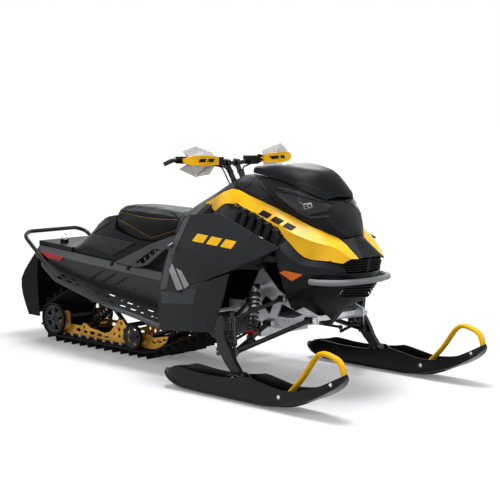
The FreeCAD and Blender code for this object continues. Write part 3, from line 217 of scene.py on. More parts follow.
def moulded(name, tint, rough=0.42, grain=1400.0, depth=0.25, coat=0.0, gleam=0.13):
    """Moulded plastic with a fine grain and slightly uneven gloss."""
    tree = new_material(name)
    broad = add_noise(tree, 9.0)
    vary_colour(tree, shade(tint, 0.88), shade(tint, 1.14), broad)
    wear(tree, shade(tint, 2.2), 0.8)
    vary_roughness(tree, broad, rough - 0.06, rough + 0.08)
    add_bump(tree, add_noise(tree, grain, 2.0), depth, 0.0004, 0.0015)
    set_shader(tree, {"Specular IOR Level": gleam, "Coat Weight": coat, "Coat Roughness": 0.12})
    return tree


def painted(name, tint, rough, metallic=0.0):
    """Powder coat on metal with a slight orange peel."""
    tree = new_material(name)
    broad = add_noise(tree, 14.0)
    vary_colour(tree, shade(tint, 0.85), shade(tint, 1.18), broad)
    wear(tree, shade(tint, 1.7), 0.6)
    vary_roughness(tree, broad, rough - 0.05, rough + 0.1)
    add_bump(tree, add_noise(tree, 500.0, 1.0), 0.15, 0.0004, 0.001)
    set_shader(tree, {"Specular IOR Level": 0.16, "Metallic": metallic})
    set_shader(tree, {"Coat Weight": 0.25, "Coat Roughness": 0.2})
    return tree


def rubber(name, tint, grain=700.0):
    """Dull rubber with a rough skin and paler scuffs."""
    tree = new_material(name)
    fine = add_noise(tree, grain, 4.0)
    vary_colour(tree, shade(tint), shade(tint, 1.9), add_noise(tree, 26.0, 5.0), 0.45, 0.75)
    vary_roughness(tree, fine, 0.62, 0.86)
    add_bump(tree, fine, 0.5, 0.0006)
    set_shader(tree, {"Specular IOR Level": 0.1})


def cast_metal(name, tint, rough):
    """Cast or machined metal with a sandy skin."""
    tree = new_material(name)
    fine = add_noise(tree, 650.0, 3.0)
    vary_colour(tree, shade(tint, 0.8), shade(tint), add_noise(tree, 18.0))
    vary_roughness(tree, fine, rough - 0.12, rough + 0.1)
    add_bump(tree, fine, 0.3, 0.0004, 0.001)
    set_shader(tree, {"Metallic": 1.0})


def vinyl(name, tint):
    """Seat vinyl with a pebbled grain."""
    tree = new_material(name)
    broad = add_noise(tree, 12.0, 4.0)
    vary_colour(tree, shade(tint, 0.85), shade(tint, 1.2), broad)
    vary_roughness(tree, broad, 0.48, 0.66)
    add_bump(tree, add_cells(tree, 420.0, "DISTANCE_TO_EDGE"), 0.55, 0.0007)
    set_shader(tree, {"Sheen Weight": 0.04, "Specular IOR Level": 0.1})
    return tree


def thread(name, tint):
    """Sewing thread with fine twisted strands."""
    tree = new_material(name)
    strands = add_noise(tree, 900.0, 2.0, (1, 4, 4))
    vary_colour(tree, shade(tint, 0.7), shade(tint), strands)
    add_bump(tree, strands, 0.6, 0.0005)
    set_shader(tree, {"Roughness": 0.7})


def clear_plastic(name, tint, rough, clear):
    """Tinted clear plastic with faint flow marks."""
    tree = new_material(name)
    marks = add_noise(tree, 60.0, 2.0)
    vary_colour(tree, shade(tint, 0.9), shade(tint), marks)
    vary_roughness(tree, marks, rough, rough + 0.06)
    set_shader(tree, {"Transmission Weight": clear, "IOR": 1.45, "Coat Weight": 0.5})


def lamp_lens(name, tint):
    """Lamp lens with small prisms moulded in its inner face."""
    tree = new_material(name)
    prisms = add_cells(tree, 160.0, "F1")
    vary_colour(tree, shade(tint, 0.8), shade(tint, 1.1), prisms, 0.1, 0.7)
    vary_roughness(tree, prisms, 0.16, 0.3)
    add_bump(tree, prisms, 0.15, 0.0008)
    set_shader(tree, {"Specular IOR Level": 0.15, "Coat Weight": 0.15, "Coat Roughness": 0.05})


moulded("body_black", black, 0.4)
moulded("body_gloss", black, 0.22, 900.0, 0.08, 0.6)
moulded("body_grey", (30, 33, 36))
moulded("shield_gloss", (14, 15, 17), 0.44, 900.0, 0.06, 0.0, 0.07)
moulded("chamfer_grey", (86, 89, 91), 0.5)
moulded("cover_black", (20, 21, 23), 0.46)
moulded("cover_grey", (44, 47, 49), 0.46)
moulded("field_grey", (62, 66, 69), 0.4)
moulded("decal_grey", (176, 178, 180))
moulded("bumper_grey", (140, 142, 145), 0.4)
moulded("wheel_grey", (74, 76, 79), 0.48)
moulded("band_yellow", yellow, 0.36, 700.0, 0.05, 0.1, 0.25)
moulded("loop_yellow", yellow, 0.38)
moulded("ski_gloss", (10, 10, 12), 0.3, 900.0, 0.12, 0.0, 0.2)
moulded("lamp_smoke", (6, 6, 8), 0.1, 900.0, 0.03, 0.6)
moulded("print_black", (8, 8, 10), 0.5, 700.0, 0.1, 0.0, 0.12)
moulded("vent_mesh", (40, 42, 45), 0.5, 260.0, 1.0)
# The engine's near-black matte colour is painted shade for the dark inside of the body, in place of its metal
moulded("engine_painted_shade", (14, 14, 15), 0.85, 500.0, 0.4, 0.0, 0.08)
# The liner's near-black matte colour is painted shade for the dark inside of the body
moulded("liner_painted_shade", (8, 8, 9), 0.8, 500.0, 0.4, 0.0, 0.08)
painted("frame_black", black, 0.3)
painted("brace_grey", (62, 66, 68), 0.4)
painted("rail_gold", gold, 0.34, 0.55)
painted("damper_red", red, 0.3)
rubber("rubber", (30, 30, 32))
rubber("tyre_rubber", (14, 14, 15))
rubber("flap_rubber", (24, 25, 27), 400.0)
rubber("grip_rubber", (22, 22, 24), 900.0)
cast_metal("cast_grey", bright_steel, 0.5)
cast_metal("damper_silver", bright_steel, 0.3)
cast_metal("silver", (205, 207, 210), 0.28)
thread("stitch_gold", gold)
lamp_lens("lens_red", red)
lamp_lens("lens_amber", amber)
clear_plastic("deflector", (198, 196, 193), 0.22, 0.7)

# A second colour on the tunnel's chamfered shoulders, the nose's cheeks, the seat's top, the inner ends of the
# hand guards and the outer edge of the running boards
colour_between(painted("tunnel_coat", (22, 24, 26), 0.36), (66, 69, 71), "normal", 2, 0.3, 0.34, 0.94)
colour_between(moulded("nose_shell", (12, 13, 14), 0.34), (32, 35, 38), "place", 2, 0.567, 0.569)
colour_between(vinyl("seat_cover", (13, 13, 14)), (50, 52, 54), "normal", 2, 0.72, 0.8)
guard = moulded("guard_yellow", yellow, 0.34, 900.0, 0.1)
colour_between(guard, (14, 14, 16), "either side", 1, 0.1605, 0.1595)
board = painted("board_coat", (20, 21, 23), 0.46)
board_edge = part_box("running_boards")[1][1] - 0.024
colour_between(board, (74, 77, 79), "either side", 1, board_edge, board_edge + 0.001)

# CAD nodes by their finish
finish_nodes = {
    "frame_black": "skid_arms skid_shocks drive_axle rear_bumper lower_arms upper_arms front_shocks handlebar "
                   "spindle_left spindle_right tie_rod_left tie_rod_right",
    "body_black": "rail_slides cargo_deck hood console nose_grille bar_controls",
    "body_grey": "side_panels lower_panels", "cover_black": "tail_cover", "cover_grey": "louvres",
    "tunnel_coat": "tunnel", "board_coat": "running_boards", "brace_grey": "brace_frame",
    "rubber": "track", "flap_rubber": "snow_flap", "grip_rubber": "grips", "wheel_grey": "idler_wheels",
    "rail_gold": "skid_rails", "lens_red": "tail_lamps", "lamp_smoke": "headlamps", "seat_cover": "seat",
    "band_yellow": "hood_bands", "guard_yellow": "hand_guards", "deflector": "deflectors",
    "shield_gloss": "windshield", "nose_shell": "belly_pan", "bumper_grey": "front_bumper",
    "cast_grey": "bulkhead", "engine_painted_shade": "engine", "ski_gloss": "ski_left ski_right",
    "loop_yellow": "ski_loop_left ski_loop_right",
}


def add_modifier(piece, name, kind, **settings):
    """A modifier with its settings."""
    modifier = piece.modifiers.new(name, kind)
    for key, value in settings.items():
        setattr(modifier, key, value)
    return modifier


weld_distance = 0.00002


def smoothing_group(name, angle):
    """A node group that shades smooth below an angle and keeps sharper edges."""
    group = bpy.data.node_groups.new(name, "GeometryNodeTree")
    for end in ("INPUT", "OUTPUT"):
        group.interface.new_socket("Geometry", in_out=end, socket_type="NodeSocketGeometry")
    shape = add_node(group, "NodeGroupInput").outputs[0]
    shape = add_node(group, "GeometryNodeRemoveAttribute", {"Geometry": shape, "Name": "custom_normal"})
    weld = {"Geometry": shape.outputs["Geometry"], "Distance": weld_distance}
    shape = add_node(group, "GeometryNodeMergeByDistance", weld)
    soft = {"Geometry": shape.outputs["Geometry"], "Shade Smooth": True}
    shape = add_node(group, "GeometryNodeSetShadeSmooth", soft, domain="FACE")
    turn = add_node(group, "GeometryNodeInputMeshEdgeAngle").outputs["Unsigned Angle"]
    limit = {0: turn, 1: math.radians(angle)}
    above = add_node(group, "FunctionNodeCompare", limit, data_type="FLOAT", operation="GREATER_THAN")
    sharp = {"Geometry": shape.outputs["Geometry"], "Selection": above.outputs["Result"]}
    sharp["Shade Smooth"] = False
    shape = add_node(group, "GeometryNodeSetShadeSmooth", sharp, domain="EDGE")
    add_node(group, "NodeGroupOutput", {0: shape.outputs["Geometry"]})
    return group


def dress_nodes():
    """Materials and even shading on the CAD nodes, with the control blocks rounded first."""
    blocks = nodes["bar_controls"]
    add_modifier(blocks, "weld", "WELD", merge_threshold=weld_distance)
    add_modifier(blocks, "edge", "BEVEL", width=0.006, segments=3, limit_method="ANGLE",
                 angle_limit=math.radians(50))
    smoothing = smoothing_group("panel_smoothing", 24.0)
    for finish, names in finish_nodes.items():
        for name in names.split():
            for slot in nodes[name].material_slots:
                slot.material = materials[finish]
            add_modifier(nodes[name], "smoothing", "NODES", node_group=smoothing)
            add_modifier(nodes[name], "flats", "WEIGHTED_NORMAL", keep_sharp=True, weight=90)


# Camera, stage and lights

def make_camera():
    """The camera that took the photograph."""
    data = bpy.data.cameras.new("camera")
    data.lens = camera_lens
    data.sensor_width = camera_sensor
    data.sensor_fit = "HORIZONTAL"
    data.clip_end = 100.0
    camera = bpy.data.objects.new("camera", data)
    camera.location = camera_place
    camera.rotation_euler = camera_rotation
    bpy.context.scene.collection.objects.link(camera)
    bpy.context.scene.camera = camera


def mixed_shaders(tree, share, first, second):
    """Two shaders mixed by a share."""
    return add_node(tree, "ShaderNodeMixShader", {"Fac": share, 1: first, 2: second}).outputs["Shader"]


def background_rays(tree):
    """1 for rays that see the background: the camera's, and those off metal and through glass."""
    rays = add_node(tree, "ShaderNodeLightPath").outputs
    seen = combined(tree, "MAXIMUM", rays["Is Camera Ray"], rays["Is Glossy Ray"])
    return combined(tree, "MAXIMUM", seen, rays["Is Transmission Ray"])


def make_floor():
    """A wide pale floor that shows white to the camera and keeps the shadow near the machine."""
    half = 40.0
    shadow_to, white_from, white_in_shadow = 1.3, 3.2, 0.16
    mesh = bpy.data.meshes.new("floor")
    corners = [(-half, -half, 0), (half, -half, 0), (half, half, 0), (-half, half, 0)]
    mesh.from_pydata(corners, [], [(0, 1, 2, 3)])
    floor = bpy.data.objects.new("floor", mesh)
    bpy.context.scene.collection.objects.link(floor)
    tree = new_material("floor")
    set_shader(tree, {"Base Color": (0.42, 0.42, 0.43, 1), "Roughness": 0.8})
    seen = add_node(tree, "ShaderNodeBsdfDiffuse", {"Color": (0.88, 0.88, 0.89, 1)}).outputs["BSDF"]
    glow = add_node(tree, "ShaderNodeEmission", {"Strength": 1.12}).outputs["Emission"]
    length = add_node(tree, "ShaderNodeVectorMath", {0: object_place(tree)}, operation="LENGTH")
    share = map_range(tree, length.outputs["Value"], shadow_to, white_from, white_in_shadow)
    plain = tree.nodes["Principled BSDF"].outputs["BSDF"]
    look = mixed_shaders(tree, background_rays(tree), plain, mixed_shaders(tree, share, seen, glow))
    set_inputs(tree, tree.nodes["Material Output"], {"Surface": look})
    mesh.materials.append(materials["floor"])


def make_world():
    """White to the camera and in reflections of it, and a soft even light on the object."""
    world = bpy.data.worlds.new("studio")
    bpy.context.scene.world = world
    world.use_nodes = True
    tree = world.node_tree
    light = tree.nodes["Background"]
    set_inputs(tree, light, {"Color": (0.93, 0.95, 1.0, 1), "Strength": 0.26})
    seen = add_node(tree, "ShaderNodeBackground", {"Color": (1, 1, 1, 1), "Strength": 1.0})
    look = mixed_shaders(tree, background_rays(tree), light.outputs["Background"], seen.outputs["Background"])
    set_inputs(tree, tree.nodes["World Output"], {"Surface": look})


def add_light(name, place, size, power):
    """A soft square light aimed at the middle of the machine."""
    data = bpy.data.lights.new(name, "AREA")
    data.shape = "SQUARE"
    data.size = size
    data.energy = power
    light = bpy.data.objects.new(name, data)
    light.location = place
    aim = Vector((0, 0, 0.5)) - Vector(place)
    light.rotation_euler = aim.to_track_quat("-Z", "Y").to_euler()
    bpy.context.scene.collection.objects.link(light)


def make_stage():
    """Camera, floor, white surroundings and four soft lights."""
    make_camera()
    make_floor()
    make_world()
    add_light("overhead", (0.2, 0.3, 4.6), 2.2, 200)
    add_light("key", (1.6, -5.2, 3.6), 1.8, 80)
    add_light("nose", (5.6, 0.6, 2.6), 1.8, 60)
    add_light("rim", (-3.6, 3.8, 3.4), 2.2, 110)
    bpy.context.scene.view_settings.view_transform = "Standard"


# Mesh tools

def add_object(name, mesh, finish, body):
    """An object from a mesh, with a material, riding on a CAD body."""
    piece = bpy.data.objects.new(name, mesh)
    bpy.context.scene.collection.objects.link(piece)
    mesh.materials.append(materials[finish])
    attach(piece, body)
    return piece


def add_shape(name, shape, finish, body="chassis", angle=35.0, outward=False):
    """A piece from a bmesh, which is freed. Edges above the angle stay sharp."""
    if outward:
        bmesh.ops.recalc_face_normals(shape, faces=shape.faces)
    mesh = bpy.data.meshes.new(name)
    shape.to_mesh(mesh)
    shape.free()
    for face in mesh.polygons:
        face.use_smooth = True
    mesh.set_sharp_from_angle(angle=math.radians(angle))
    return add_object(name, mesh, finish, body)


def at(x, y, z):
    """A point that is written in the drawing's millimetres, as a place in the frame."""
    return Vector((x / 1000 + drawing_shift, y / 1000, z / 1000))


def joined(shape, rings, looped=False):
    """Faces between rings of points, with closed ends unless the rings themselves go round in a loop."""
    rings = [[shape.verts.new(corner) for corner in ring] for ring in rings]
    for ring, following in zip(rings, rings[1:] + rings[:1] if looped else rings[1:]):
        for corners in zip(ring, ring[1:] + ring[:1], following[1:] + following[:1], following):
            shape.faces.new(corners)
    if not looped:
        shape.faces.new(rings[0][::-1])
        shape.faces.new(rings[-1])


def oval(centre, right, rise, count):
    """Points round a centre, with right and rise as the half axes."""
    angles = [2 * math.pi * number / count for number in range(count)]
    return [centre + right * math.cos(angle) + rise * math.sin(angle) for angle in angles]


def ring_points(centre, along, radius, count):
    """Points round a centre, square to a direction."""
    turn = along.to_track_quat("Z", "Y")
    return oval(centre, turn @ Vector((radius, 0, 0)), turn @ Vector((0, radius, 0)), count)


def turned(shape, start, along, outline, count=20, looped=False):
    """A turned form along an axis; outline holds (distance along, radius) pairs."""
    joined(shape, [ring_points(start + along * far, along, radius, count) for far, radius in outline], looped)


def hoop(shape, centre, along, outline, count=48):
    """A closed band about an axis; outline goes round its section."""
    turned(shape, centre, along, outline, count, True)


def path_steps(points, closed=False):
    """Each point of a path with the path's direction there."""
    total = len(points)
    for number, point in enumerate(points):
        before = points[number - 1] if number or closed else point
        after = points[(number + 1) % total] if number + 1 < total or closed else point
        yield point, (after - before).normalized()


def swept(shape, points, radius, count=8, closed=False):
    """A round wire through points, whose ring start stays steady along bends."""
    rings = []
    for point, along in path_steps(points, closed):
        reference = Vector((0, 0, 1)) if abs(along.z) < 0.9 else sideways
        right = along.cross(reference).normalized()
        rings.append(oval(point, right * radius, right.cross(along) * radius, count))
    joined(shape, rings, closed)


def oval_sweep(shape, points, across, wide, high, count=14):
    """A flattened tube through points, wide along a fixed direction."""
    rings = []
    for point, along in path_steps(points):
        rings.append(oval(point, across * wide, along.cross(across).normalized() * high, count))
    joined(shape, rings)


def spline_points(name, points):
    """Smooth points along a curve that is led by a few control points."""
    curve = bpy.data.curves.new(name, "CURVE")
    curve.dimensions = "3D"
    curve.resolution_u = 6
    line = curve.splines.new("NURBS")
    line.points.add(len(points) - 1)
    for point, place in zip(line.points, points):
        point.co = (*place, 1)
    line.order_u = 4
    line.use_endpoint_u = True
    holder = bpy.data.objects.new(name, curve)
    mesh = bpy.data.meshes.new_from_object(holder)
    path = [vertex.co.copy() for vertex in mesh.vertices]
    bpy.data.objects.remove(holder)
    bpy.data.meshes.remove(mesh)
    return path


def mirror_into(shape):
    """Adds the mirror image across the machine to a shape."""
    copy = bmesh.ops.duplicate(shape, geom=shape.verts[:] + shape.edges[:] + shape.faces[:])["geom"]
    for item in copy:
        if isinstance(item, bmesh.types.BMVert):
            item.co.y = -item.co.y
    bmesh.ops.reverse_faces(shape, faces=[item for item in copy if isinstance(item, bmesh.types.BMFace)])


def bolt(shape, place, along, radius, high):
    """A washer and a hexagon head standing on a surface along its outward direction."""
    washer = [(0, radius * 1.25), (0.0022, radius * 1.25), (0.0024, radius * 0.8)]
    head = [(0, radius * 0.85), (0, radius), (high * 0.8, radius), (high, radius * 0.86), (high, radius * 0.3)]
    turned(shape, place - along * 0.001, along, washer)
    turned(shape, place + along * 0.0008, along, head, 6)


# Dampers with their springs, in place of their plain CAD forms

def coil_points(start, end, radius, turns=8, steps=18):
    """Points of a coil spring's wire."""
    axis = end - start
    turn = axis.to_track_quat("Z", "Y")
    points = []
    total = turns * steps
    for number in range(total + 1):
        angle = 2 * math.pi * number / steps
        spoke = Vector((radius * math.cos(angle), radius * math.sin(angle), 0))
        points.append(start + axis * (number / total) + turn @ spoke)
    return points


def damper(name, top, bottom, radius, coil_radius):
    """One damper: silver body, black seats, rod and spring, and red collars."""
    length = (bottom - top).length
    along = (bottom - top).normalized()
    eye_half, eye_inner, eye_outer = 0.0135, 0.0092, 0.0145
    sleeve = bmesh.new()
    turned(sleeve, top + along * 0.012, along, [
        (0, radius * 0.7), (0.006, radius), (length * 0.2, radius), (length * 0.2 + 0.002, radius * 0.92),
        (length * 0.56, radius * 0.92), (length * 0.56 + 0.004, radius * 0.6),
    ])
    add_shape(name + "_body", sleeve, "damper_silver")
    seats = bmesh.new()
    for share in (0.15, 0.86):
        turned(seats, top + along * length * share, along, [
            (0, radius * 0.8), (0, coil_radius), (0.0084, coil_radius), (0.012, coil_radius * 0.9),
            (0.012, radius * 0.5),
        ], 28)
    add_shape(name + "_seats", seats, "frame_black")
    collars = bmesh.new()
    for share in (0.13, 0.895):
        turned(collars, top + along * length * share, along, [
            (0, radius * 0.7), (0.001, radius * 1.12), (0.008, radius * 1.12), (0.009, radius * 0.7),
        ], 24)
    add_shape(name + "_collars", collars, "damper_red")
    rod = bmesh.new()
    turned(rod, top + along * length * 0.5, along, [(0, 0.006), (length * 0.5 - 0.012, 0.006)], 16)
    for place in (top, bottom):
        across = sideways if name.startswith("skid") or place is top else forward
        turned(rod, place - across * eye_half, across, [
            (0, eye_inner), (0, eye_outer), (2 * eye_half, eye_outer), (2 * eye_half, eye_inner),
        ], 24)
    add_shape(name + "_rod", rod, "frame_black")
    spring = bmesh.new()
    wire = coil_points(top + along * length * 0.19, top + along * length * 0.855, coil_radius - 0.005)
    swept(spring, wire, 0.0042)
    return add_shape(name + "_spring", spring, "frame_black", angle=60)


def make_dampers():
    """Two front dampers, and two in the skid."""
    for side, sign in sides:
        top = at(540, 240 * sign, 480)
        damper("front_damper_" + side, top, at(628, 366 * sign, 262), 0.021, 0.029)
    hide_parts("front_shocks")
    rear = damper("skid_damper_rear", at(-745, 0, 271), at(-1012, 0, 82), 0.022, 0.03)
    damper("skid_damper_front", at(-120, 0, 210), at(-370, 0, 70), 0.02, 0.027)
    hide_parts("skid_shocks")


# Marks and small parts that are set on the body where the photograph's camera sees them

camera_turn = camera_rotation.to_matrix()


def surface_tree(pieces):
    """A search tree over pieces as they stand at rest."""
    points = []
    faces = []
    for piece in pieces:
        first = len(points)
        points.extend(piece.matrix_world @ vertex.co for vertex in piece.data.vertices)
        faces.extend([first + corner for corner in face.vertices] for face in piece.data.polygons)
    return BVHTree.FromPolygons(points, faces)


def seen_point(tree, across, down):
    """The place and outward direction that the camera sees through a place in its picture."""
    pixel = camera_sensor / camera_lens / picture_side
    middle = picture_side / 2
    ray = (camera_turn @ Vector(((across - middle) * pixel, (middle - down) * pixel, -1))).normalized()
    place, side, _, _ = tree.ray_cast(camera_place, ray)
    if place is None:
        return None, None
    return place, side if side.dot(ray) < 0 else -side


def laid_patches(name, outlines, carriers, finish, body="chassis", lift=0.0006, step=1.5, thick=0.0):
    """Thin patches that follow the surface inside outlines given in the picture, on both sides."""
    longest_edge = 0.03
    tree = surface_tree([nodes[carrier] for carrier in carriers])
    flat = bmesh.new()
    for outline in outlines:
        flat.faces.new([flat.verts.new((across, down, 0)) for across, down in outline])
    for axis in (0, 1):
        places = [vertex.co[axis] for vertex in flat.verts]
        across = Vector((1 - axis, axis, 0))
        cut = min(places) + step
        while cut < max(places):
            everything = flat.verts[:] + flat.edges[:] + flat.faces[:]
            bmesh.ops.bisect_plane(flat, geom=everything, plane_co=across * cut, plane_no=across)
            cut += step
    missed = []
    for vertex in flat.verts:
        place, side = seen_point(tree, vertex.co.x, vertex.co.y)
        if place is None:
            missed.append(vertex)
        else:
            vertex.co = place + side * lift
    bmesh.ops.delete(flat, geom=missed, context="VERTS")
    torn = [edge for edge in flat.edges if edge.calc_length() > longest_edge]
    bmesh.ops.delete(flat, geom=torn, context="EDGES")
    flat.normal_update()
    hidden = [face for face in flat.faces if face.normal.dot(camera_place - face.calc_center_median()) < 0]
    bmesh.ops.reverse_faces(flat, faces=hidden)
    mirror_into(flat)
    piece = add_shape(name, flat, finish, body, 30)
    if thick:
        add_modifier(piece, "thickness", "SOLIDIFY", thickness=thick, offset=1.0)


def slash_row(place, along, pitch, wide, high, lean, count=3):
    """Leaning four-sided slashes in a row; place is the lower start corner of the first."""
    run = Vector(along).normalized()
    top = Vector((run.y, -run.x)) * high + run * lean
    row = []
    for number in range(count):
        start = Vector(place) + Vector(along) * (pitch * number)
        row.append([start, start + run * wide, start + run * wide + top, start + top])
    return row


def make_marks():
    """Generic slashes and colour fields in place of the printed ones, in pixels of the picture."""
    slashes = slash_row((258, 214), (0.89, 0.46), 13.5, 10, 6.0, 3.2)
    laid_patches("band_slashes", slashes, ["hood_bands"], "print_black", lift=0.0014)
    slashes = slash_row((192, 241), (0.97, 0.2), 14.5, 11, 8.5, 4.0)
    laid_patches("panel_slashes", slashes, ["side_panels"], "band_yellow")
    slashes = slash_row((198.5, 162.3), (1, 0), 0, 6.5, 3.4, 1.5, 1)
    slashes += slash_row((207, 162.1), (1, 0), 0, 6.5, 3.4, 1.5, 1)
    laid_patches("guard_slashes", slashes, ["hand_guards"], "print_black", body="handlebar")
    slashes = []
    for x, y in ((88.5, 277.5), (100.5, 280.8), (112.5, 284)):
        slashes.append([(x, y), (x + 13, y - 7.6), (x + 16.4, y - 7.4), (x + 3.6, y + 1.2)])
    laid_patches("tunnel_slashes", slashes, ["tunnel"], "cover_grey", thick=0.003)
    stripes = [
        [(167, 265), (172.5, 264), (183, 289), (177, 290.5)],
        [(176, 268), (181.5, 271), (189, 285), (184.5, 289)],
    ]
    laid_patches("panel_stripes", stripes, ["side_panels", "lower_panels"], "decal_grey")
    reflector = [(279.5, 272.5), (285, 270.5), (302.6, 274.6), (299, 277.5), (292, 281)]
    laid_patches("side_reflectors", [reflector], ["belly_pan", "hood_bands"], "lens_amber", thick=0.003)
    field = [(160.5, 291), (196.5, 288.5), (193.5, 304), (161.5, 303)]
    laid_patches("lower_fields", [field], ["lower_panels"], "field_grey")
    rear_edge = [
        (186, 215.5), (190.5, 215.5), (174.5, 251), (170, 270), (166.5, 288.5), (160, 289.5), (164.5, 269),
        (169, 250.5),
    ]
    laid_patches("panel_edges", [rear_edge], ["side_panels"], "chamfer_grey")


def make_body_lines():
    """Grooves, vents and raised fields of the bodywork, in pixels of the picture."""
    groove = [
        (290, 180.5), (306, 183.5), (321, 189.5), (331, 196.5), (330, 198), (320, 191.5), (305, 185.3),
        (290, 182),
    ]
    laid_patches("shield_grooves", [groove], ["windshield"], "print_black")
    vent = [(237, 184.2), (253.5, 174.2), (262, 183), (270.5, 196.3), (266, 198), (250, 191.5), (238, 187)]
    laid_patches("hood_vents", [vent], ["hood"], "vent_mesh", thick=0.002)
    grooves = [
        [(244.5, 187.6), (253, 181.5), (254, 182.3), (245.6, 188.6)],
        [(259, 183), (272, 198), (277, 203), (276, 203.6), (271, 198.8), (258.2, 183.4)],
    ]
    laid_patches("hood_grooves", grooves, ["hood"], "print_black", lift=0.0031)
    border = [
        (228.5, 204.5), (237, 203), (257, 216.3), (278, 227.3), (284, 236), (281, 237), (270, 231.5),
        (256, 223), (245, 213.5), (236, 208), (229, 209),
    ]
    laid_patches("louvre_borders", [border], ["hood_bands", "louvres"], "print_black", step=1.0)
    panel = [(76.8, 242.3), (91.5, 234), (112, 238), (135, 243.2), (124, 249.6), (112.5, 256), (92, 248)]
    laid_patches("cover_panels", [panel], ["tail_cover"], "cover_grey", thick=0.004)
    facet = [(82.5, 241.5), (100, 223.5), (108, 219.5), (109.5, 223), (98, 230.5), (92, 235)]
    laid_patches("cover_facets", [facet], ["tail_cover"], "cover_grey", thick=0.003)


def make_lamps():
    """Small lamp units on the dark lamp covers, with grey strips of painted highlight along the windshield's
    lower lip and the crease below, in pixels of the picture.
    """
    covers = ["hood", "headlamps"]
    recess = [
        (283.7, 194.2), (297, 197.6), (317, 202.6), (331, 204.4), (327, 211.6), (311, 213.4), (299.5, 208.4),
        (287, 200.4),
    ]
    laid_patches("lamp_recesses", [recess], covers, "lamp_smoke", lift=0.0015)
    # Grey strip of painted highlight along the windshield's lower lip above the lamps
    painted_lip_highlight = [
        (277, 187.2), (287, 188.6), (306, 194.4), (320, 199.4), (333, 202.2), (333, 203.4), (318, 201.4),
        (299, 196), (285, 191.8),
    ]
    laid_patches("lamp_lip_highlights", [painted_lip_highlight], covers + ["windshield"], "cover_grey", lift=0.0018, thick=0.003)
    # Grey strip of painted highlight along the crease below the lamp opening
    painted_crease_highlight = [(297, 210.4), (311, 216.6), (329, 216), (329, 217.2), (311, 218.2), (296, 211.8)]
    laid_patches("lamp_crease_highlights", [painted_crease_highlight], covers, "field_grey", lift=0.0015, thick=0.002)
    rim = [(303.2, 204.2), (311.4, 203.0), (312.4, 207.6), (304.6, 209.4)]
    laid_patches("lamp_frames", [rim], covers, "decal_grey", lift=0.002, thick=0.002)
    cores = [
        [(304.4, 204.9), (307.4, 204.4), (308.2, 207.9), (305.4, 208.5)],
        [(308.2, 204.3), (310.8, 203.9), (311.6, 207.1), (309.0, 207.7)],
    ]
    laid_patches("lamp_cores", cores, covers, "lamp_smoke", lift=0.0042, thick=0.001)


def laid_bolts(name, spots, carriers, finish, radius, high):
    """Bolts on the surfaces that the camera sees at places in its picture, on both sides."""
    tree = surface_tree([nodes[carrier] for carrier in carriers])
    shape = bmesh.new()
    for across, down in spots:
        place, side = seen_point(tree, across, down)
        if place is not None:
            bolt(shape, place, side, radius, high)
    mirror_into(shape)
    add_shape(name, shape, finish)


def make_bolts():
    """Bolts of the braces, panels, arm pivots and bar clamps, and the tunnel's rivets."""
    brace_spots = [(112, 263.6), (128.6, 268)]
    laid_bolts("brace_bolts", brace_spots, ["brace_frame", "tunnel"], "print_black", 0.011, 0.006)
    panel_spots = [(171, 256), (206, 212), (250, 236), (168, 296), (205, 322), (247, 300)]
    laid_bolts("panel_screws", panel_spots, ["side_panels", "lower_panels"], "body_gloss", 0.006, 0.003)
    hood_spots = [(238, 188), (262, 198)]
    laid_bolts("hood_screws", hood_spots, ["hood"], "body_gloss", 0.006, 0.003)
    rivet_spots = [(52 + 10.4 * number, 267.5 + 2.75 * number) for number in range(10)]
    laid_bolts("tunnel_rivets", rivet_spots, ["tunnel"], "cover_grey", 0.0045, 0.0025)
    arm_pivots = ((838, 188, 345), (569, 188, 300), (668, 200, 430), (458, 200, 398))
    search_from, squarely = 70, 0.95
    pivots = bmesh.new()
    tree = surface_tree([nodes["bulkhead"], nodes["lower_arms"], nodes["upper_arms"]])
    for x, y, z in arm_pivots:
        for share in (-1, 1):
            for sign in (-1, 1):
                away = forward * share
                place, side, _, _ = tree.ray_cast(at(x + search_from * share, y * sign, z), -away)
                if place is not None and abs(side.x) > squarely:
                    bolt(pivots, place, away, 0.009, 0.006)
    add_shape("pivot_bolts", pivots, "damper_silver")
    clamps = bmesh.new()
    for across in (-34, 34):
        for share in (-1, 1):
            place = at(133, across + 6 * share, 1050) + post_up * 0.0185 + post_ahead * 0.006
            bolt(clamps, place, post_up, 0.0042, 0.005)
    add_shape("clamp_bolts", clamps, "silver", "handlebar")


# Skid, deck and liner

# Wheels as the source has them: place in the side view, radius and distance from the middle plane
rear_wheel = (-1121.0, 128.0, 89.0, 172.5)
carrier_wheel = (-800.0, 318.0, 67.0, 150.0)
lower_wheel = (-445.0, 106.0, 67.0, 172.5)


def make_tyres():
    """Rubber tyres round the skid's wheels, with bearing caps and bolts on their hubs."""
    tyres = bmesh.new()
    caps = bmesh.new()
    half = 0.0127
    cap_outline = [(0, 0.02), (0.0015, 0.02), (0.003, 0.0175), (0.003, 0.012), (0.0045, 0.0105)]
    for wheel in (rear_wheel, carrier_wheel, lower_wheel):
        x, z, radius, y = wheel
        outer = radius / 1000 + 0.0002
        inner = outer - radius * 0.00013
        tread = [
            (-half, inner), (-half, outer - 0.004), (-half + 0.003, outer - 0.0008), (-half + 0.006, outer),
            (half - 0.006, outer), (half - 0.003, outer - 0.0008), (half, outer - 0.004), (half, inner),
        ]
        for sign in (-1, 1):
            centre = at(x, y * sign, z)
            hoop(tyres, centre, sideways, tread)
            outward = sideways * sign
            face = centre + outward * 0.0122
            turned(caps, face, outward, cap_outline, 32)
            if wheel is not carrier_wheel:
                bolt(caps, face + outward * 0.004, outward, 0.0085, 0.006)
    add_shape("tyres", tyres, "tyre_rubber", angle=25)
    add_shape("wheel_caps", caps, "frame_black")


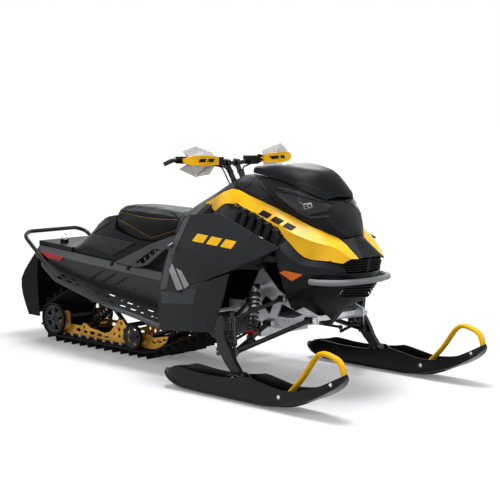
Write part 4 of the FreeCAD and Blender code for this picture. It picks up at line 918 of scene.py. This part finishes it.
def make_belt_guides():
    """Folded metal guides on the belt's lower run, beside the slides."""
    first, pitch, count = -1072, 70, 10
    outline = [(-13, 39), (-13, 41), (-9, 50), (-5, 53), (5, 53), (9, 50), (13, 41), (13, 39)]
    shape = bmesh.new()
    for number in range(count):
        x = first + pitch * number
        for sign in (-1, 1):
            joined(shape, [[at(x + along, y * sign, z) for along, z in outline] for y in (145.5, 148.0)])
    add_shape("belt_guides", shape, "silver", angle=20, outward=True)


def make_deck_rings():
    """Steel lashing rings over the deck's two posts."""
    radius, sleeve_half = 0.017, 0.004
    sleeve = [(0, 0.003), (0.001, 0.0045), (0.007, 0.0045), (0.008, 0.003)]
    shape = bmesh.new()
    for sign in (-1, 1):
        centre = at(-1090, 120 * sign, 594)
        swept(shape, ring_points(centre, Vector((1, 0, 0.25)).normalized(), radius, 24), 0.0026, 8, True)
        for share in (-1, 1):
            turned(shape, centre + Vector((0, radius * share - sleeve_half, -0.0075)), sideways, sleeve, 14)
    add_shape("deck_rings", shape, "damper_silver", angle=50)


def make_liner():
    """Panel behind the engine that closes the body off from the tunnel; its near-black matte colour is painted
    shade for the dark inside of the body.
    """
    outline = [
        (-262, 372), (-262, 560), (-200, 604), (200, 604), (262, 560), (262, 372), (206, 346), (-206, 346),
    ]
    shape = bmesh.new()
    joined(shape, [[at(x, y, z) for y, z in outline] for x in (279, 283)])
    add_shape("body_liner", shape, "liner_painted_shade", angle=30, outward=True)


# Skis

# The pull loop's line in the side view
loop_line = [
    (958, 24), (1000, 62), (1060, 122), (1110, 176), (1150, 238), (1196, 288), (1268, 272), (1326, 252),
    (1330, 182),
]

# The ski in the side view, by place along it: underside, rim of the side walls, half width and keel's depth
ski_rows = [
    (225, 71, 86, 34, 0), (240, 62, 90, 54, 0), (268, 47, 93, 68, 0), (300, 33, 99, 73, 0),
    (345, 19, 110, 73, 0), (400, 13, 108, 73, 10), (499, 10.5, 102, 73, 10), (640, 10, 104, 73, 10),
    (760, 10, 118, 73, 10), (812, 10, 126, 73, 10), (905, 10, 112, 73, 10), (1000, 20, 98, 73, 10),
    (1080, 40, 103, 73, 10), (1140, 60, 115, 71, 4), (1204, 84, 134, 66, 0), (1270, 119, 164, 56, 0),
    (1310, 146, 186, 43, 0), (1334, 170, 200, 28, 0), (1344, 186, 206, 12, 0),
]

# The saddle's cheek in the side view, and the pin through it
saddle_outline = [
    (600, 20), (780, 20), (776, 52), (756, 84), (728, 112), (708, 121), (672, 121), (654, 112), (622, 84),
    (606, 52),
]
pin_x, pin_z, pin_half = 690, 98, 41


def flowing_rows(rows, steps):
    """Rows of numbers with more rows between them, on a smooth line through each."""
    result = []
    for number in range(len(rows) - 1):
        before = rows[max(number - 1, 0)]
        after = rows[min(number + 2, len(rows) - 1)]
        for step in range(steps):
            t = step / steps
            row = []
            for a, b, c, d in zip(before, rows[number], rows[number + 1], after):
                bend = 2 * a - 5 * b + 4 * c - d + t * (3 * (b - c) + d - a)
                row.append(b + 0.5 * t * (c - a + t * bend))
            result.append(row)
    result.append(list(rows[-1]))
    return result


def ski_section(under, rim, half, keel):
    """Section of the ski: rounded edges, a keel, and a wall along each side."""
    floor = under + 12
    rim = max(rim, floor + 3)
    wall = max(half - 8, half * 0.6)
    inner = max(half - 16, half * 0.4)
    toe = min(17, half * 0.3)
    right = [
        (toe * 0.7, under - keel), (toe, under), (half * 0.8, under), (half - 3, under + 1.5),
        (half, under + 6), (half, floor - 2), (half - 2, floor), (wall + 1, floor + 1), (wall, floor + 4),
        (wall, rim - 4), (wall - 2, rim), (inner + 2, rim), (inner, rim - 4), (inner, floor + 6),
        (inner * 0.86, floor),
    ]
    return right + [(-across, high) for across, high in right[::-1]]


def make_ski_shell(side, middle):
    """Smooth moulded ski with cross ribs in its trough, in place of the CAD one."""
    shape = bmesh.new()
    rings = []
    for x, under, rim, half, keel in flowing_rows(ski_rows, 3):
        section = ski_section(under, rim, half, max(0, min(keel, under - 3)))
        rings.append([at(x, middle + across, high) for across, high in section])
    joined(shape, rings)
    for x in (430, 520, 850, 930, 1010):
        lift = 10 if x > 1000 else 0
        ends = []
        for y in (-58, 58):
            rib = [(x - 5, 20), (x - 2, 33), (x + 2, 33), (x + 5, 20)]
            ends.append([shape.verts.new(at(along, middle + y, high + lift)) for along, high in rib])
        for corners in zip(ends[0], ends[0][1:], ends[1][1:], ends[1]):
            shape.faces.new(corners)
    shell = add_shape("ski_shell_" + side, shape, "ski_gloss", "ski_" + side, 32, True)
    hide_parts("ski_" + side)


def make_ski_saddle(side, middle):
    """Two cheeks that carry the spindle's pin."""
    shape = bmesh.new()
    for cheek in ((29, 39), (-39, -29)):
        joined(shape, [[at(x, middle + y, z) for x, z in saddle_outline] for y in cheek])
    piece = add_shape("ski_saddle_" + side, shape, "frame_black", "ski_" + side, 30, True)
    add_modifier(piece, "edge", "BEVEL", width=0.0025, segments=2)


def make_ski_bolts(side, middle):
    """The saddle's pin, the bolts of saddle and loop, and the wear bar under the keel."""
    shape = bmesh.new()
    turned(shape, at(pin_x, middle - pin_half, pin_z), sideways, [(0, 0.006), (0.082, 0.006)], 16)
    for share in (-1, 1):
        bolt(shape, at(pin_x, middle + 39 * share, pin_z), sideways * share, 0.009, 0.006)
        bolt(shape, at(1004, middle + 65 * share, 66), sideways * share, 0.0075, 0.004)
        bolt(shape, at(1288, middle + 42 * share, 160), sideways * share, 0.0075, 0.004)
    turned(shape, at(400, middle, 5), forward, [(0, 0.002), (0.012, 0.005), (0.488, 0.005), (0.5, 0.002)], 12)
    add_shape("ski_bolts_" + side, shape, "damper_silver", "ski_" + side)


def make_pull_loop(side, middle):
    """Moulded pull loop, wider across the ski, in place of the round CAD one."""
    shape = bmesh.new()
    path = spline_points("loop_line_" + side, [at(x, middle, z) for x, z in loop_line])
    oval_sweep(shape, path, sideways, 0.0175, 0.012)
    piece = add_shape("pull_loop_" + side, shape, "loop_yellow", "ski_" + side, 50, True)
    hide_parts("ski_loop_" + side)


# Handlebar

def make_grip_ribs():
    """Raised rubber ribs and an end collar on each grip."""
    first, pitch, count = 0.016, 0.0092, 19
    rib = [(-0.0024, 0.0168), (-0.0014, 0.0182), (0.0014, 0.0182), (0.0024, 0.0168)]
    collar = [(-0.003, 0.012), (-0.003, 0.0215), (0.002, 0.0225), (0.004, 0.0168)]
    shape = bmesh.new()
    for sign in (-1, 1):
        start = at(149.2, 180 * sign, 1066.5)
        along = (at(133.5, 380 * sign, 1077) - start).normalized()
        for number in range(count):
            hoop(shape, start + along * (first + pitch * number), along, rib, 24)
        hoop(shape, start + along * 0.003, along, collar, 28)
    add_shape("grip_ribs", shape, "grip_rubber", "handlebar", 40)


# The hose along the left riser and the throttle's cable along the right one, in the drawing
hose_run = [
    (158, 118, 1046), (154, 92, 1034), (150, 64, 1032), (158, 53, 1012), (178, 52, 978), (198, 50, 942),
    (216, 36, 908), (240, 20, 866), (266, 12, 822),
]
cable_run = [
    (132, -122, 1040), (128, -96, 1036), (126, -66, 1034), (134, -54, 1006), (156, -53, 968), (182, -50, 930),
    (206, -34, 896), (230, -20, 856), (256, -12, 814),
]


def make_hoses():
    """Hoses and throttle cable strapped along the risers, down to the post's opening."""
    mirrored_run = [(x, -y, z) for x, y, z in hose_run]
    shape = bmesh.new()
    for number, (run, radius) in enumerate(((mirrored_run, 0.0042), (cable_run, 0.0036), (hose_run, 0.0042))):
        swept(shape, spline_points("hose_line_" + str(number), [at(*place) for place in run]), radius)
    add_shape("bar_hoses", shape, "grip_rubber", "handlebar", 60)
    strap = [(-0.004, 0.0134), (-0.004, 0.0152), (0.004, 0.0152), (0.004, 0.0134)]
    straps = bmesh.new()
    for sign in (-1, 1):
        for distance in (0.05, 0.1):
            hoop(straps, at(133, 34 * sign, 1050) - post_up * distance, post_up, strap, 28)
    add_shape("hose_straps", straps, "print_black", "handlebar", 30)


# Seat

# Seams in the picture: the seat's top edge and the dipping line on its side
seat_seams = [
    [(115, 211), (126, 213.6), (147, 218), (163, 219.4), (178.6, 219.6)],
    [(113.6, 216.4), (128, 224.6), (144, 234), (151.4, 238), (163, 234), (174, 230.7), (181.4, 227)],
]
seam_depth, seam_width = 0.0028, 0.0065


def applied(piece):
    """The mesh of a piece with its modifiers applied."""
    graph = bpy.context.evaluated_depsgraph_get()
    return bpy.data.meshes.new_from_object(piece.evaluated_get(graph))


def apply_modifier(piece, modifier):
    """Makes the piece's mesh what the modifier makes of it."""
    mesh = applied(piece)
    piece.modifiers.remove(modifier)
    piece.data = mesh


def swollen(piece, pinned, pressure, limit):
    """Cloth blown up for 20 frames, with every point's move capped."""
    last_frame = 20
    start = [vertex.co.copy() for vertex in piece.data.vertices]
    piece.vertex_groups.new(name="held").add(pinned, 1.0, "REPLACE")
    cloth = piece.modifiers.new("cloth", "CLOTH")
    cloth.settings.vertex_group_mass = "held"
    cloth.settings.use_pressure = True
    cloth.settings.uniform_pressure_force = pressure
    cloth.settings.effector_weights.gravity = 0
    cloth.point_cache.frame_start = 1
    cloth.point_cache.frame_end = last_frame
    scene = bpy.context.scene
    for number in range(1, last_frame + 1):
        scene.frame_set(number)
    mesh = applied(piece)
    piece.modifiers.remove(cloth)
    scene.frame_set(1)
    for vertex, before in zip(mesh.vertices, start):
        move = vertex.co - before
        if move.length > limit:
            vertex.co = before + move.normalized() * limit
    piece.data = mesh


def seam_points(tree, seam, spacing):
    """Places on a surface along a line in the picture, at a spacing in pixels."""
    points = []
    for start, end in zip(seam, seam[1:]):
        first = Vector(start)
        last = Vector(end)
        count = max(2, round((last - first).length / spacing))
        for number in range(count):
            place, side = seen_point(tree, *first.lerp(last, number / count))
            if place is not None:
                points.append((place, side))
    return points


def sink_seams(piece):
    """Soft channels in the cushion along its seams, on both sides."""
    tree = surface_tree([piece])
    places = []
    for seam in seat_seams:
        for place, _ in seam_points(tree, seam, 0.4):
            places += [place, Vector((place.x, -place.y, place.z))]
    near = kdtree.KDTree(len(places))
    for number, place in enumerate(places):
        near.insert(place, number)
    near.balance()
    for vertex in piece.data.vertices:
        _, _, distance = near.find(vertex.co)
        vertex.co -= vertex.normal * seam_depth * math.exp(-(distance / seam_width) ** 2)
    piece.data.update()


def make_stitches(piece):
    """Sewn stitches along the seams, of four points each."""
    tree = surface_tree([piece])
    shape = bmesh.new()
    for seam in seat_seams:
        line = seam_points(tree, seam, 0.25)
        for number in range(0, len(line) - 4, 4):
            swept(shape, [place + side * 0.0006 for place, side in line[number:number + 4]], 0.0009, 5)
    mirror_into(shape)
    add_shape("seat_stitches", shape, "stitch_gold", angle=60)


def make_seat():
    """Upholstered cushion with sewn lines in place of the plain CAD solid."""
    mesh = nodes["seat"].data.copy()
    low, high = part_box("seat")
    middle = (Vector(low) + Vector(high)) / 2
    for vertex in mesh.vertices:
        offset = vertex.co - middle
        vertex.co = middle + Vector((offset.x * 0.985, offset.y * 0.962, offset.z * 0.955 - 0.002))
    mesh.materials.clear()
    piece = add_object("seat_cushion", mesh, "seat_cover", "chassis")
    apply_modifier(piece, add_modifier(piece, "remesh", "REMESH", mode="VOXEL", voxel_size=0.006))
    piece.data.update()
    pinned = [vertex.index for vertex in piece.data.vertices if vertex.normal.z < -0.6]
    swollen(piece, pinned, 4.0, 0.007)
    apply_modifier(piece, add_modifier(piece, "rounding", "SMOOTH", iterations=6))
    sink_seams(piece)
    for face in piece.data.polygons:
        face.use_smooth = True
    add_modifier(piece, "finer", "SUBSURF", levels=1, render_levels=1)
    make_stitches(piece)
    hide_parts("seat")


dress_nodes()
make_stage()
make_dampers()
make_marks()
make_body_lines()
make_lamps()
make_bolts()
make_tyres()
make_belt_guides()
make_deck_rings()
make_liner()
for side_name, side_sign in sides:
    for make_part in (make_ski_shell, make_ski_saddle, make_ski_bolts, make_pull_loop):
        make_part(side_name, ski_middle * side_sign)
make_grip_ribs()
make_hoses()
make_seat()
